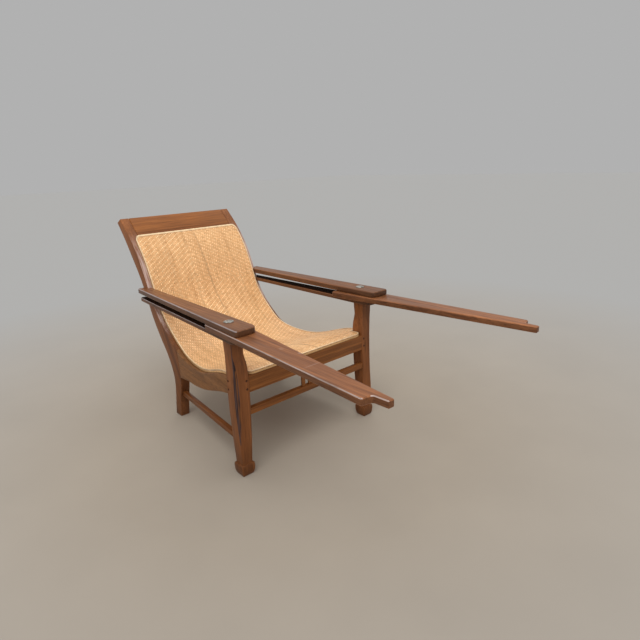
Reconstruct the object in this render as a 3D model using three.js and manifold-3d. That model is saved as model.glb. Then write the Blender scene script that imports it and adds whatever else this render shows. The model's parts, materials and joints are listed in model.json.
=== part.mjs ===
import Module from 'manifold-3d';
import * as THREE from 'three';
import { mergeVertices } from 'three/addons/utils/BufferGeometryUtils.js';

// Planters chair with swing-out leg rests
// Lengths are in millimetres. x runs across the chair, y from its front to its back, z up.
// While it is built, y is zero at the front plane of the front legs and z is zero on the floor.
// The right side of the chair is the side where x is positive. The left side is its mirror image.

// Fits and cuts
const jointGap = 0.3;
const cutOverrun = 8;
const arris = 2;
const weldDistance = 0.0005;
const cornerSteps = 6;

// Overall form of the back and seat
const backHeight = 858;
const backReach = 980;
const kneeDepth = 556;
const kneeShare = 0.56735;
const seatLineSteps = 54;

// The seat line runs along the tops of the side rails and up the fronts of the posts.
// Each pair is a share of the back's reach and a share of its height, from the front to the top.
// The knee, where the seat rails meet the posts, lies at its own share of the reach.
const seatLineShares = [
  [0, 0.4454], [0.0404, 0.4429], [0.0917, 0.4359], [0.1498, 0.4205], [0.2139, 0.3947],
  [0.278, 0.3718], [0.3411, 0.3579], [0.4081, 0.3544], [0.4712, 0.3589], [0.5106, 0.3659],
  [0.549, 0.3788], [0.5865, 0.3977], [0.62, 0.4245], [0.6535, 0.4543], [0.692, 0.4931],
  [0.7275, 0.5398], [0.7541, 0.5895], [0.7777, 0.6552], [0.8014, 0.7188], [0.8231, 0.7695],
  [0.8467, 0.8122], [0.8733, 0.854], [0.9039, 0.8948], [0.9372, 0.9353], [1, 1],
];

// Posts: each is a back stile and a rear leg in one sawn piece
const postHalfSpan = 284;
const postThickness = 41;
const postRearSteps = 40;
const postShinSteps = 14;
const postRearShares = [
  [0.6541, 0], [0.6456, 0.0513], [0.6299, 0.1399], [0.6245, 0.2132], [0.6407, 0.2794],
  [0.6732, 0.345], [0.7146, 0.4056], [0.7531, 0.4683], [0.7817, 0.5269], [0.8063, 0.5895],
  [0.8319, 0.6527], [0.8615, 0.7133], [0.898, 0.7735], [0.9362, 0.8341], [0.9791, 0.8998],
  [1.0388, 0.979],
];
const postShinShares = [
  [0.6052, 0], [0.5949, 0.0583], [0.5816, 0.1223], [0.5674, 0.175], [0.5592, 0.2306],
  [0.5592, 0.2913], [0.5632, 0.3497],
];

// Front legs: square, swelling to the seat, waisted under the arm, on block feet
const legHalfSpread = 315;
const legSetback = 25.3;
const legSplay = THREE.MathUtils.degToRad(0.8);
const legRake = THREE.MathUtils.degToRad(0.61);
const legWidth = 56;
const legArris = 1.5;
const legRingSteps = 26;
const neckLean = 6;
const footWidth = 54.5;
const footHeight = 45;
const footShares = [[0, 0.767], [0.14, 0.87], [0.36, 0.96], [0.62, 1], [0.86, 1], [1, 0.95]];
// Each row is a share of the leg's height, a share of its width and a share of the neck's lean.
const legTaperShares = [
  [0.0877, 0.75, 0], [0.117, 0.76, 0], [0.195, 0.82, 0], [0.292, 0.893, 0], [0.39, 0.936, 0],
  [0.487, 0.975, 0], [0.585, 1, 0], [0.682, 1, 0], [0.78, 0.973, 0], [0.838, 0.929, 0.35],
  [0.897, 0.834, 1], [0.955, 0.87, 1], [1, 0.893, 1], [1.03, 0.9, 1],
];

// Stopped chamfer on the outer front corner of each front leg
const chamferFoot = 108;
const chamferHead = 500;
const chamferDepth = 8.5;
const chamferSpan = 40;
const chamferSteps = 14;

// Side seat rails, set in from the outer faces of the front legs and splayed to the posts
const railSetIn = 7;
const railThickness = 30;
const railLowerSteps = 22;
const railLowerShares = [
  [0.0306, 0.3639], [0.0887, 0.3534], [0.1479, 0.3355], [0.2336, 0.3032], [0.3006, 0.2809],
  [0.3726, 0.2654], [0.4347, 0.258], [0.4672, 0.255], [0.5106, 0.2461], [0.5683, 0.2356],
];
const railTenonThickness = 13;
const railTenonRun = 24;
const railTenonShoulder = 8;
const railRearTenonHeight = 78;
const tenonRoot = 16;

// Front rail, flush with the fronts of the legs
const frontRailInset = 1;
const frontRailThickness = 27;
const frontRailHeight = 63;
const frontTenonThickness = 13;
const frontTenonRun = 23;
const frontTenonShoulder = 8;
const frontTenonSetback = 9;

// Crest rail between the tops of the posts
const crestWidth = 135;
const crestThickness = 28;
const crestTenonRun = 33;
const crestTenonThickness = 13;
const crestTenonShoulder = 14;

// Rear cross rail, behind the seat and between the posts
const crossRailThickness = 26;
const crossRailHeight = 64;
const crossRailBottom = 214;
const crossRailSetback = 24;
const crossTenonRun = 24;
const crossTenonShoulder = 7;

// Front stretcher and the short uprights that stand on it under the front rail
const stretcherClearance = 63;
const stretcherHeight = 22;
const stretcherDepth = 22;
const stretcherSetback = 2.6;
const stretcherTenonRun = 20;
const stretcherTenonShoulder = 5;
const uprightWidth = 16;
const uprightThickness = 8;
const uprightPitch = 33;
const uprightTenonRun = 9;
const uprightTenonShoulder = 2;

// Side stretchers, low down between the front legs and the posts
const sideStretcherTop = 131;
const sideStretcherHeight = 22;
const sideStretcherThickness = 18;
const sideStretcherSetIn = 27;
const sideStretcherRearInset = 9;
const sideTenonRun = 18;
const sideTenonShoulder = 4;

// Pegs through the mortises
const pegRadius = 4;
const pegSides = 12;
const pegProud = 0.5;
const pegLength = 27;
const legPegHighShare = 0.74;
const legPegLowShare = 0.24;
const frontPegInset = 10;
const sidePegInset = 9;
const crestPegDrop = 30;
const crestPegInset = 18;

// Arms: two boards with an open slot between them, sloping a little to the back
const armHeight = 577;
const armSlope = THREE.MathUtils.degToRad(0.58);
const armBoardThickness = 22;
const leafThickness = 21;
const leafClearance = 0.5;
const armShelfThickness = 16;
const armBevel = 3;
const armFront = -68;
const armRear = 794;
const armOverLegOuter = 45;
const armOverLegInner = 39;
const armPastPostOuter = 35;
const armPastPostInner = 16;
const armInnerRound = 24;
const armOuterRound = 8;
const armRearRound = 4;
const armNotchReach = 26;
const shelfFront = -40;
const shelfRear = 805;
const shelfInset = 9;
const shelfFrontOuterRound = 32;
const shelfFrontInnerRound = 26;
const shelfRearRound = 12;
const dowelRadius = 5;
const dowelReach = 28;

// Leg rests: boards that turn about a bolt, notched at the far end to fold past the posts
const pivotPastLeg = 1;
const pivotSetback = 43;
const leafSplay = THREE.MathUtils.degToRad(4);
const leafStub = 106;
const leafStubOuter = 43;
const leafStubInner = 62;
const leafShoulderOuter = 29.4;
const leafShoulderInner = 3;
const leafShoulderSlant = 3;
const leafPostClearance = 17;
const tongueLength = 50;
const tongueTipOuter = 8;
const tongueTipInner = 27;
const leafBevel = 2.5;
const leafRound = 7;
const leafStubRound = 9;
const tongueRound = 4;
const notchFillet = 9;

// Pivot bolts
const boltShankRadius = 6;
const boltHeadRadius = 17.5;
const boltHeadHeight = 4.5;
const boltHeadEdge = 1.4;
const boltBiteShare = 0.3636;
const boltSides = 24;
const boltDomeSteps = 5;
const boltClearance = 0.3;

// Seat panel: a woven mat on a frame of bent laths
const panelTopDrop = 126;
const panelPostInset = 19;
const panelRailInset = 6;
const panelFrontSetback = 3;
const panelLegClearance = 3;
const panelTopRound = 22;
const panelFrontRound = 26;
const lathThickness = 6;
const lathWidth = 26;
const lathCrossWidth = 34;
const matThickness = 4;
const edgingWidth = 5;
const edgingThickness = 1.6;

// Finishes
const darkWood = { color: 0x6a3a20, roughness: 0.5, metalness: 0 };
const armWood = { color: 0x6f4330, roughness: 0.45, metalness: 0 };
const pegWood = { color: 0x3f2214, roughness: 0.6, metalness: 0 };
const lathWood = { color: 0x9a6a3c, roughness: 0.6, metalness: 0 };
const rattan = { color: 0xd2a15e, roughness: 0.65, metalness: 0 };
const paleCane = { color: 0xe3bd83, roughness: 0.5, metalness: 0 };
const wornSteel = { color: 0x7d7a78, roughness: 0.45, metalness: 0.9 };

const wasm = await Module();
wasm.setup();

// Booleans

function solidOf(geometry) {
  const bare = geometry.clone();
  bare.deleteAttribute('normal');
  bare.deleteAttribute('uv');
  const merged = mergeVertices(bare, weldDistance);
  const vertProperties = Float32Array.from(merged.attributes.position.array);
  const triVerts = Uint32Array.from(merged.index.array);
  return new wasm.Manifold(new wasm.Mesh({ numProp: 3, vertProperties, triVerts }));
}

function geometryOf(solid) {
  const surface = solid.getMesh();
  const geometry = new THREE.BufferGeometry();
  geometry.setAttribute('position', new THREE.BufferAttribute(surface.vertProperties, 3));
  geometry.setIndex(new THREE.BufferAttribute(surface.triVerts, 1));
  geometry.computeVertexNormals();
  return geometry;
}

function cut(solid, ...cutters) {
  return cutters.reduce((rest, cutter) => rest.subtract(cutter), solid);
}

// The mirror image of a piece in the centre plane, with its faces turned out again.
function mirrored(geometry) {
  const copy = geometry.clone();
  copy.scale(-1, 1, 1);
  const index = copy.index.array;
  for (let i = 0; i < index.length; i += 3) {
    [index[i], index[i + 1]] = [index[i + 1], index[i]];
  }
  copy.computeVertexNormals();
  return copy;
}

// Outlines and basic forms

function vector(pair) {
  return new THREE.Vector2(pair[0], pair[1]);
}

// A depth by its share of the back's reach. What lies before the knee follows the knee.
function reachDepth(share) {
  if (share < kneeShare) {
    return THREE.MathUtils.mapLinear(share, 0, kneeShare, 0, kneeDepth);
  }
  return THREE.MathUtils.mapLinear(share, kneeShare, 1, kneeDepth, backReach);
}

// The curve through pairs of shares of the back's reach and height.
function backCurve(shares, steps) {
  const points = shares.map(([depth, height]) => (
    new THREE.Vector2(reachDepth(depth), height * backHeight)
  ));
  return new THREE.SplineCurve(points).getSpacedPoints(steps);
}

// The value of one coordinate where a run of points reaches a given value of the other.
function alongRun(points, known, wanted, value) {
  const next = points.findIndex((point) => point[known] >= value);
  const after = points[Math.max(next, 1)];
  const before = points[Math.max(next, 1) - 1];
  const share = (value - before[known]) / (after[known] - before[known]);
  return THREE.MathUtils.lerp(before[wanted], after[wanted], share);
}

// A polygon whose corners, each given as x, y and a radius, are rounded by arcs.
function roundedOutline(corners) {
  const outline = [];
  corners.forEach(([x, y, radius], i) => {
    const corner = new THREE.Vector2(x, y);
    if (radius === 0) {
      outline.push(corner);
      return;
    }
    const back = vector(corners.at(i - 1)).sub(corner).normalize();
    const ahead = vector(corners[(i + 1) % corners.length]).sub(corner).normalize();
    const halfAngle = Math.acos(THREE.MathUtils.clamp(back.dot(ahead), -1, 1)) / 2;
    const centre = back.clone().add(ahead).setLength(radius / Math.sin(halfAngle)).add(corner);
    const start = back.clone().multiplyScalar(radius / Math.tan(halfAngle)).add(corner).sub(centre);
    const turn = Math.sign(back.cross(ahead)) * (Math.PI - 2 * halfAngle);
    for (let step = 0; step <= cornerSteps; step += 1) {
      const spoke = start.clone().rotateAround(new THREE.Vector2(), -turn * step / cornerSteps);
      outline.push(spoke.add(centre));
    }
  });
  return outline;
}

function rectangle(fromX, toX, fromY, toY) {
  return [[fromX, fromY], [toX, fromY], [toX, toY], [fromX, toY]].map(vector);
}

// A prism that stands on an outline in x and y. Its edges are chamfered by the bevel.
function prismUp(outline, fromZ, toZ, bevel = 0) {
  const geometry = new THREE.ExtrudeGeometry(new THREE.Shape(outline), {
    depth: toZ - fromZ - 2 * bevel,
    steps: 1,
    bevelEnabled: bevel > 0,
    bevelThickness: bevel,
    bevelSize: bevel,
    bevelOffset: -bevel,
    bevelSegments: 1,
  });
  return geometry.translate(0, 0, fromZ + bevel);
}

const acrossBasis = new THREE.Matrix4().makeBasis(
  new THREE.Vector3(0, 1, 0),
  new THREE.Vector3(0, 0, 1),
  new THREE.Vector3(1, 0, 0),
);

// A prism across the chair on an outline in y and z.
function prismAcross(outline, fromX, toX, bevel = 0) {
  return prismUp(outline, fromX, toX, bevel).applyMatrix4(acrossBasis);
}

function block(fromX, toX, fromY, toY, fromZ, toZ) {
  return prismUp(rectangle(fromX, toX, fromY, toY), fromZ, toZ);
}

// A solid through a run of rings with the same number of points.
function loft(rings) {
  const count = rings[0].length;
  const index = [];
  for (let ring = 0; ring + 1 < rings.length; ring += 1) {
    for (let i = 0; i < count; i += 1) {
      const low = ring * count + i;
      const lowNext = ring * count + (i + 1) % count;
      index.push(low, lowNext, lowNext + count, low, lowNext + count, low + count);
    }
  }
  const last = (rings.length - 1) * count;
  for (let i = 1; i + 1 < count; i += 1) {
    index.push(0, i + 1, i, last, last + i, last + i + 1);
  }
  const geometry = new THREE.BufferGeometry().setFromPoints(rings.flat());
  geometry.setIndex(index);
  return geometry;
}

// A square ring with chamfered corners, level at one height.
function squareRing(x, y, z, width, chamfer) {
  const half = width / 2;
  const flat = half - chamfer;
  const corners = [
    [half, -flat], [half, flat], [flat, half], [-flat, half],
    [-half, flat], [-half, -flat], [-flat, -half], [flat, -half],
  ];
  return corners.map(([across, along]) => new THREE.Vector3(x + across, y + along, z));
}

// A round bar along z, as a closed lathe form.
function roundBar(radius, fromZ, toZ, sides) {
  const profile = [[0, fromZ], [radius, fromZ], [radius, toZ], [0, toZ]].map(vector);
  return new THREE.LatheGeometry(profile, sides).rotateX(Math.PI / 2);
}

// Seat line and post outline

const seatLine = backCurve(seatLineShares, seatLineSteps);

function seatHeight(depth) {
  return alongRun(seatLine, 'x', 'y', depth);
}

function postFront(height) {
  const backPart = seatLine.filter((point) => point.x >= kneeDepth);
  return alongRun(backPart, 'y', 'x', height);
}

// The front rail hangs from the seat line, and the front stretcher lies clear below it.
const frontRailBottom = seatHeight(0) - frontRailHeight;
const stretcherTop = frontRailBottom - stretcherClearance;

// The seat line between two depths, with a point exactly at each end and no short edge beside it.
function seatRun(fromDepth, toDepth) {
  const inside = seatLine.filter((point) => (
    point.x > fromDepth + arris && point.x < toDepth - arris
  ));
  const first = new THREE.Vector2(fromDepth, seatHeight(fromDepth));
  const last = new THREE.Vector2(toDepth, seatHeight(toDepth));
  return [first, ...inside, last];
}

// A run of points moved square to itself, to its upper and front side.
function offsetRun(points, distance) {
  return points.map((point, i) => {
    const before = points[Math.max(i - 1, 0)];
    const after = points[Math.min(i + 1, points.length - 1)];
    const along = after.clone().sub(before).normalize();
    return new THREE.Vector2(point.x - along.y * distance, point.y + along.x * distance);
  });
}

const postShin = backCurve(postShinShares, postShinSteps);
const postRear = backCurve(postRearShares, postRearSteps);
const postOutline = [
  ...postRear,
  ...seatRun(kneeDepth, backReach).reverse(),
  ...postShin.slice().reverse(),
];

function grownOutline(outline, distance) {
  return outline.map((point, i) => {
    const before = outline.at(i - 1);
    const after = outline[(i + 1) % outline.length];
    const along = after.clone().sub(before).normalize();
    return new THREE.Vector2(point.x + along.y * distance, point.y - along.x * distance);
  });
}

function postBlank(grow) {
  const inner = postHalfSpan - postThickness;
  const outline = grownOutline(postOutline, grow);
  const bevel = grow > 0 ? 0 : arris;
  return prismAcross(outline, inner - grow, postHalfSpan + grow, bevel);
}

// Front leg blank

const armFrontOuter = legHalfSpread + armOverLegOuter;
const armFrontInner = legHalfSpread - armOverLegInner;
const armRearOuter = postHalfSpan + armPastPostOuter;
const armRearInner = postHalfSpan - armPastPostInner;
const pivotHalfSpan = legHalfSpread + pivotPastLeg;
const armStack = armBoardThickness + leafThickness + armShelfThickness + 2 * leafClearance;
const legTop = armHeight - armStack;

function legCentre(height) {
  return [legHalfSpread - Math.tan(legSplay) * height, legSetback + Math.tan(legRake) * height];
}

const legTaper = new THREE.CatmullRomCurve3(
  legTaperShares.map(([height, width, lean]) => (
    new THREE.Vector3(height * legTop, width * legWidth, lean * neckLean)
  )),
).getPoints(legRingSteps);

function legWidthAt(height) {
  return alongRun(legTaper, 'x', 'y', height);
}

function legLeanAt(height) {
  return alongRun(legTaper, 'x', 'z', height);
}

function legBlank(grow) {
  const foot = footShares.map(([height, width]) => {
    const [x, y] = legCentre(height * footHeight);
    return squareRing(x, y, height * footHeight, width * footWidth + 2 * grow, legArris);
  });
  const shank = legTaper.map((station) => {
    const [x, y] = legCentre(station.x);
    const height = Math.max(station.x, footHeight);
    return squareRing(x + station.z, y, height, station.y + 2 * grow, legArris);
  });
  return loft([...foot, ...shank]);
}

const [legX, legY] = legCentre(backHeight * seatLineShares[0][1]);
const legInner = legX - legWidth / 2;
const legOuter = legX + legWidth / 2;
const legBack = legY + legWidth / 2;
const frontRailSetback = legY - legWidth / 2 + frontRailInset;

// Side rail frame: a depth in the chair stays a depth, and the rail leans in towards the post.

const railFrontOuter = legOuter - railSetIn;
const railFlare = (railFrontOuter - postHalfSpan) / (kneeDepth - legBack);
const railFrame = new THREE.Matrix4()
  .makeBasis(
    new THREE.Vector3(1, 0, 0),
    new THREE.Vector3(-railFlare, 1, 0),
    new THREE.Vector3(0, 0, 1),
  )
  .setPosition(railFrontOuter + railFlare * legBack, 0, 0);

function railTenon(fromDepth, toDepth, fromZ, toZ, grow) {
  const middle = -railThickness / 2;
  const half = railTenonThickness / 2 + grow;
  const form = block(
    middle - half,
    middle + half,
    fromDepth - grow,
    toDepth + grow,
    fromZ - grow,
    toZ + grow,
  );
  return solidOf(form.applyMatrix4(railFrame));
}

const railLower = backCurve(railLowerShares, railLowerSteps);
const railFrontTop = seatHeight(legBack) - railTenonShoulder;
const railFrontBottom = alongRun(railLower, 'x', 'y', legBack) + railTenonShoulder;
const railRearBottom = railLower.at(-1).y + railTenonShoulder;

function frontRailTenon(grow) {
  const from = legBack - railTenonRun;
  return railTenon(from, legBack + tenonRoot, railFrontBottom, railFrontTop, grow);
}

function rearRailTenon(grow) {
  const to = kneeDepth + railTenonRun;
  const top = railRearBottom + railRearTenonHeight;
  return railTenon(kneeDepth - tenonRoot, to, railRearBottom, top, grow);
}

// Low side stretcher frame

const stretcherMiddleZ = sideStretcherTop - sideStretcherHeight / 2;
const [ankleX, ankleY] = legCentre(stretcherMiddleZ);
const ankleHalf = legWidthAt(stretcherMiddleZ) / 2;
const shinDepth = postShin.find((point) => point.y >= stretcherMiddleZ).x;
const stretcherFrontOuter = ankleX + ankleHalf - sideStretcherSetIn;
const stretcherRearOuter = postHalfSpan - sideStretcherRearInset;
const stretcherRun = shinDepth - ankleY - ankleHalf;
const stretcherSplay = Math.atan2(stretcherFrontOuter - stretcherRearOuter, stretcherRun);
const stretcherFrame = new THREE.Matrix4()
  .makeRotationZ(stretcherSplay)
  .setPosition(stretcherFrontOuter, ankleY + ankleHalf, 0);

function sideStretcherTenon(grow) {
  const shoulder = sideTenonShoulder - grow;
  const form = block(
    -sideStretcherThickness + shoulder,
    -shoulder,
    -sideTenonRun - grow,
    stretcherRun / Math.cos(stretcherSplay) + sideTenonRun + grow,
    sideStretcherTop - sideStretcherHeight + shoulder,
    sideStretcherTop - shoulder,
  );
  return solidOf(form.applyMatrix4(stretcherFrame));
}

// Tenons of the rails that run across the chair

function frontTenon(grow) {
  const fromY = frontTenonSetback - grow;
  const toY = frontTenonSetback + frontTenonThickness + grow;
  const top = seatHeight(frontTenonSetback) - frontTenonShoulder + grow;
  const bottom = frontRailBottom + frontTenonShoulder - grow;
  const reach = legInner + frontTenonRun + grow;
  return solidOf(prismAcross(rectangle(fromY, toY, bottom, top), -reach, reach));
}

const stretcherLegInner = legCentre(stretcherTop)[0] - legWidthAt(stretcherTop) / 2;

function stretcherTenon(grow) {
  const shoulder = stretcherTenonShoulder - grow;
  const fromY = stretcherSetback + shoulder;
  const toY = stretcherSetback + stretcherDepth - shoulder;
  const bottom = stretcherTop - stretcherHeight + shoulder;
  const reach = stretcherLegInner + stretcherTenonRun + grow;
  return solidOf(prismAcross(rectangle(fromY, toY, bottom, stretcherTop - shoulder), -reach, reach));
}

const postInner = postHalfSpan - postThickness;
const crossRailFront = kneeDepth + crossRailSetback;
const crossRailBack = crossRailFront + crossRailThickness;

function crossTenon(grow) {
  const shoulder = crossTenonShoulder - grow;
  const fromY = crossRailFront + shoulder;
  const toY = crossRailBack - shoulder;
  const bottom = crossRailBottom + shoulder;
  const top = crossRailBottom + crossRailHeight - shoulder;
  const reach = postInner + crossTenonRun + grow;
  return solidOf(prismAcross(rectangle(fromY, toY, bottom, top), -reach, reach));
}

// The last stretch of the seat line, which the crest rail's front follows.
const crestRun = seatLine.filter((point) => (
  point.distanceTo(seatLine.at(-1)) <= crestWidth
));
const crestFoot = crestRun[0];
const crestAxis = seatLine.at(-1).clone().sub(crestFoot).normalize();
const crestNormal = new THREE.Vector2(crestAxis.y, -crestAxis.x);

// A point on the crest, by its distance down from the top and its depth behind the front face.
function crestPoint(drop, depth) {
  return seatLine.at(-1).clone().addScaledVector(crestAxis, -drop).addScaledVector(crestNormal, depth);
}

function crestTenon(grow) {
  const shallow = (crestThickness - crestTenonThickness) / 2 - grow;
  const deep = (crestThickness + crestTenonThickness) / 2 + grow;
  const high = crestTenonShoulder - grow;
  const low = crestFoot.distanceTo(seatLine.at(-1)) - crestTenonShoulder + grow;
  const outline = [
    crestPoint(low, deep), crestPoint(high, deep), crestPoint(high, shallow), crestPoint(low, shallow),
  ];
  const reach = postInner + crestTenonRun + grow;
  return solidOf(prismAcross(outline, -reach, reach));
}

// Pegs: each is a short round bar, given by its head, its direction and what it grows by

function peg(head, direction, grow) {
  const bar = roundBar(pegRadius + grow, -pegLength - grow, pegProud, pegSides);
  const turn = new THREE.Quaternion().setFromUnitVectors(new THREE.Vector3(0, 0, 1), direction);
  const place = new THREE.Matrix4().compose(head, turn, new THREE.Vector3(1, 1, 1));
  return solidOf(bar.applyMatrix4(place));
}

const pegHeights = [legPegLowShare, legPegHighShare].map((share) => (
  frontRailBottom + share * frontRailHeight
));

// The bolt goes down a share of the way from the top of the leg to the higher pegs.
const boltBite = boltBiteShare * (legTop - pegHeights.at(-1));

function frontPegs(grow) {
  return pegHeights.map((height) => {
    const [x, y] = legCentre(height);
    const half = legWidthAt(height) / 2;
    const head = new THREE.Vector3(x - half + frontPegInset, y - half, height);
    return peg(head, new THREE.Vector3(0, -1, 0), grow);
  });
}

function sidePegs(grow) {
  return pegHeights.map((height) => {
    const [x, y] = legCentre(height);
    const half = legWidthAt(height) / 2;
    const head = new THREE.Vector3(x + half, y + half - sidePegInset, height);
    return peg(head, new THREE.Vector3(1, 0, 0), grow);
  });
}

function crestPeg(grow) {
  const place = crestPoint(crestPegDrop, 0);
  const head = new THREE.Vector3(postHalfSpan - crestPegInset, place.x, place.y);
  return peg(head, new THREE.Vector3(0, -crestNormal.x, -crestNormal.y), grow);
}

function together(solids) {
  return solids.reduce((all, one) => all.add(one));
}

// Arm frame: x as in the chair, z square to the arms, with its zero on their top faces

const armFrame = new THREE.Matrix4().makeRotationX(-armSlope).setPosition(0, 0, armHeight);
const intoArm = armFrame.clone().invert();
const leafTop = -armBoardThickness - leafClearance;
const leafBottom = leafTop - leafThickness;
const shelfTop = leafBottom - leafClearance;
const shelfBottom = shelfTop - armShelfThickness;

// Where the front of a post crosses a height that is given in the arm frame.
function postFrontInArm(height) {
  const level = postFront(armHeight + height);
  return postFront(armHeight + height - Math.tan(armSlope) * level);
}

function postInArm() {
  return solidOf(postBlank(jointGap).applyMatrix4(intoArm));
}

function boltHole(fromZ, toZ) {
  const bar = roundBar(boltShankRadius + boltClearance, fromZ, toZ, boltSides);
  return solidOf(bar.translate(pivotHalfSpan, pivotSetback, 0));
}

function dowel(middleZ, grow) {
  const bar = roundBar(dowelRadius + grow, -dowelReach - grow, dowelReach + grow, pegSides);
  const x = (armRearInner + postHalfSpan) / 2;
  bar.rotateX(Math.PI / 2).translate(x, postFrontInArm(middleZ), middleZ);
  return solidOf(bar);
}

const boardMiddle = -armBoardThickness / 2;
const shelfMiddle = (shelfTop + shelfBottom) / 2;

// Pieces of the frame

function makePost() {
  const post = solidOf(postBlank(0));
  const dowels = [boardMiddle, shelfMiddle].map((height) => (
    solidOf(geometryOf(dowel(height, jointGap)).applyMatrix4(armFrame))
  ));
  const mortises = [
    rearRailTenon(jointGap),
    sideStretcherTenon(jointGap),
    crossTenon(jointGap),
    crestTenon(jointGap),
    crestPeg(jointGap),
  ];
  return geometryOf(cut(post, ...mortises, ...dowels));
}

// A slim wedge that runs up the outer front corner and is out of the wood at both its ends.
function chamferCutter() {
  const rings = [];
  for (let step = 0; step <= chamferSteps; step += 1) {
    const share = step / chamferSteps;
    const height = THREE.MathUtils.lerp(chamferFoot, chamferHead, share);
    const depth = (chamferDepth + legArris) * Math.sin(Math.PI * share) - legArris / 2;
    const [x, y] = legCentre(height);
    const half = legWidthAt(height) / 2;
    const corner = new THREE.Vector3(x + legLeanAt(height) + half, y - half, height);
    const inward = new THREE.Vector3(-Math.SQRT1_2, Math.SQRT1_2, 0);
    const sideways = new THREE.Vector3(Math.SQRT1_2, Math.SQRT1_2, 0);
    const inner = corner.clone().addScaledVector(inward, depth);
    const outer = corner.clone().addScaledVector(inward, -chamferSpan);
    rings.push([
      inner.clone().addScaledVector(sideways, -chamferSpan),
      outer.clone().addScaledVector(sideways, -chamferSpan),
      outer.clone().addScaledVector(sideways, chamferSpan),
      inner.clone().addScaledVector(sideways, chamferSpan),
    ]);
  }
  return solidOf(loft(rings));
}

function makeFrontLeg() {
  const leg = solidOf(legBlank(0));
  const reach = legOuter + legWidth;
  const above = block(0, reach, armFront, kneeDepth, shelfBottom - jointGap, armHeight);
  const bolt = roundBar(boltShankRadius + boltClearance, -armStack - boltBite, 0, boltSides);
  bolt.translate(pivotHalfSpan, pivotSetback, 0);
  const cutters = [
    chamferCutter(),
    solidOf(above.applyMatrix4(armFrame)),
    solidOf(bolt.applyMatrix4(armFrame)),
    frontRailTenon(jointGap),
    frontTenon(jointGap),
    stretcherTenon(jointGap),
    sideStretcherTenon(jointGap),
    ...frontPegs(jointGap),
    ...sidePegs(jointGap),
  ];
  return geometryOf(cut(leg, ...cutters));
}

function makeSeatRail() {
  const heelZ = railLower.at(-1).y;
  const foot = new THREE.Vector2(alongRun(postShin, 'y', 'x', heelZ), heelZ);
  const shin = postShin.filter((point) => point.y > heelZ + arris);
  const heel = [foot, ...shin].map((point) => new THREE.Vector2(point.x - jointGap, point.y));
  const lower = railLower.filter((point) => point.x < foot.x - arris);
  const top = seatRun(legY, kneeDepth - jointGap).reverse();
  const outline = [...lower, ...heel, ...top];
  const form = prismAcross(outline, -railThickness, 0, arris).applyMatrix4(railFrame);
  const rail = cut(solidOf(form), solidOf(legBlank(jointGap)));
  const whole = rail.add(frontRailTenon(0)).add(rearRailTenon(0));
  return geometryOf(cut(whole, ...sidePegs(jointGap)));
}

function makeFrontRail() {
  const back = frontRailSetback + frontRailThickness;
  const top = seatRun(frontRailSetback, back).reverse();
  const bottom = [[frontRailSetback, frontRailBottom], [back, frontRailBottom]].map(vector);
  const form = solidOf(prismAcross([...bottom, ...top], -legX, legX));
  const legs = legBlank(jointGap);
  const rail = cut(form, solidOf(legs), solidOf(mirrored(legs)));
  const pegs = together(frontPegs(jointGap));
  const mortises = uprightPlaces.map((x) => upright(x, jointGap));
  const whole = rail.add(frontTenon(0));
  return geometryOf(cut(whole, pegs, solidOf(mirrored(geometryOf(pegs))), ...mortises));
}

function makeCrestRail() {
  const back = offsetRun(crestRun, -crestThickness).reverse();
  const inner = postInner - jointGap;
  const form = solidOf(prismAcross([...back, ...crestRun].reverse(), -inner, inner, arris));
  const pegs = crestPeg(jointGap);
  return geometryOf(cut(form.add(crestTenon(0)), pegs, solidOf(mirrored(geometryOf(pegs)))));
}

function makeCrossRail() {
  const top = crossRailBottom + crossRailHeight;
  const outline = rectangle(crossRailFront, crossRailBack, crossRailBottom, top);
  const inner = postInner - jointGap;
  return geometryOf(solidOf(prismAcross(outline, -inner, inner, arris)).add(crossTenon(0)));
}

function makeFrontStretcher() {
  const back = stretcherSetback + stretcherDepth;
  const outline = rectangle(stretcherSetback, back, stretcherTop - stretcherHeight, stretcherTop);
  const form = solidOf(prismAcross(outline, -legX, legX));
  const legs = legBlank(jointGap);
  const rail = cut(form, solidOf(legs), solidOf(mirrored(legs)));
  const mortises = uprightPlaces.map((x) => upright(x, jointGap));
  return geometryOf(cut(rail.add(stretcherTenon(0)), ...mortises));
}

function makeSideStretcher() {
  const run = stretcherRun / Math.cos(stretcherSplay);
  const form = block(
    -sideStretcherThickness,
    0,
    -ankleHalf,
    run + ankleHalf,
    sideStretcherTop - sideStretcherHeight,
    sideStretcherTop,
  ).applyMatrix4(stretcherFrame);
  const rail = cut(solidOf(form), solidOf(legBlank(jointGap)), solidOf(postBlank(jointGap)));
  return geometryOf(rail.add(sideStretcherTenon(0)));
}

const uprightPlaces = [-uprightPitch, 0, uprightPitch];

// An upright with a stub tenon at each end. The grown form is the pair of mortises for it.
function upright(x, grow) {
  const middle = stretcherSetback + stretcherDepth / 2;
  const shoulder = uprightTenonShoulder - grow;
  return solidOf(block(
    x - uprightWidth / 2 + shoulder,
    x + uprightWidth / 2 - shoulder,
    middle - uprightThickness / 2 + shoulder,
    middle + uprightThickness / 2 - shoulder,
    stretcherTop - uprightTenonRun - grow,
    frontRailBottom + uprightTenonRun + grow,
  ));
}

function makeUpright(x) {
  const middle = stretcherSetback + stretcherDepth / 2;
  const form = solidOf(block(
    x - uprightWidth / 2,
    x + uprightWidth / 2,
    middle - uprightThickness / 2,
    middle + uprightThickness / 2,
    stretcherTop + jointGap,
    frontRailBottom - jointGap,
  ));
  return geometryOf(form.add(upright(x, 0)));
}

// Pieces of the arms, in the arm frame

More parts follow.
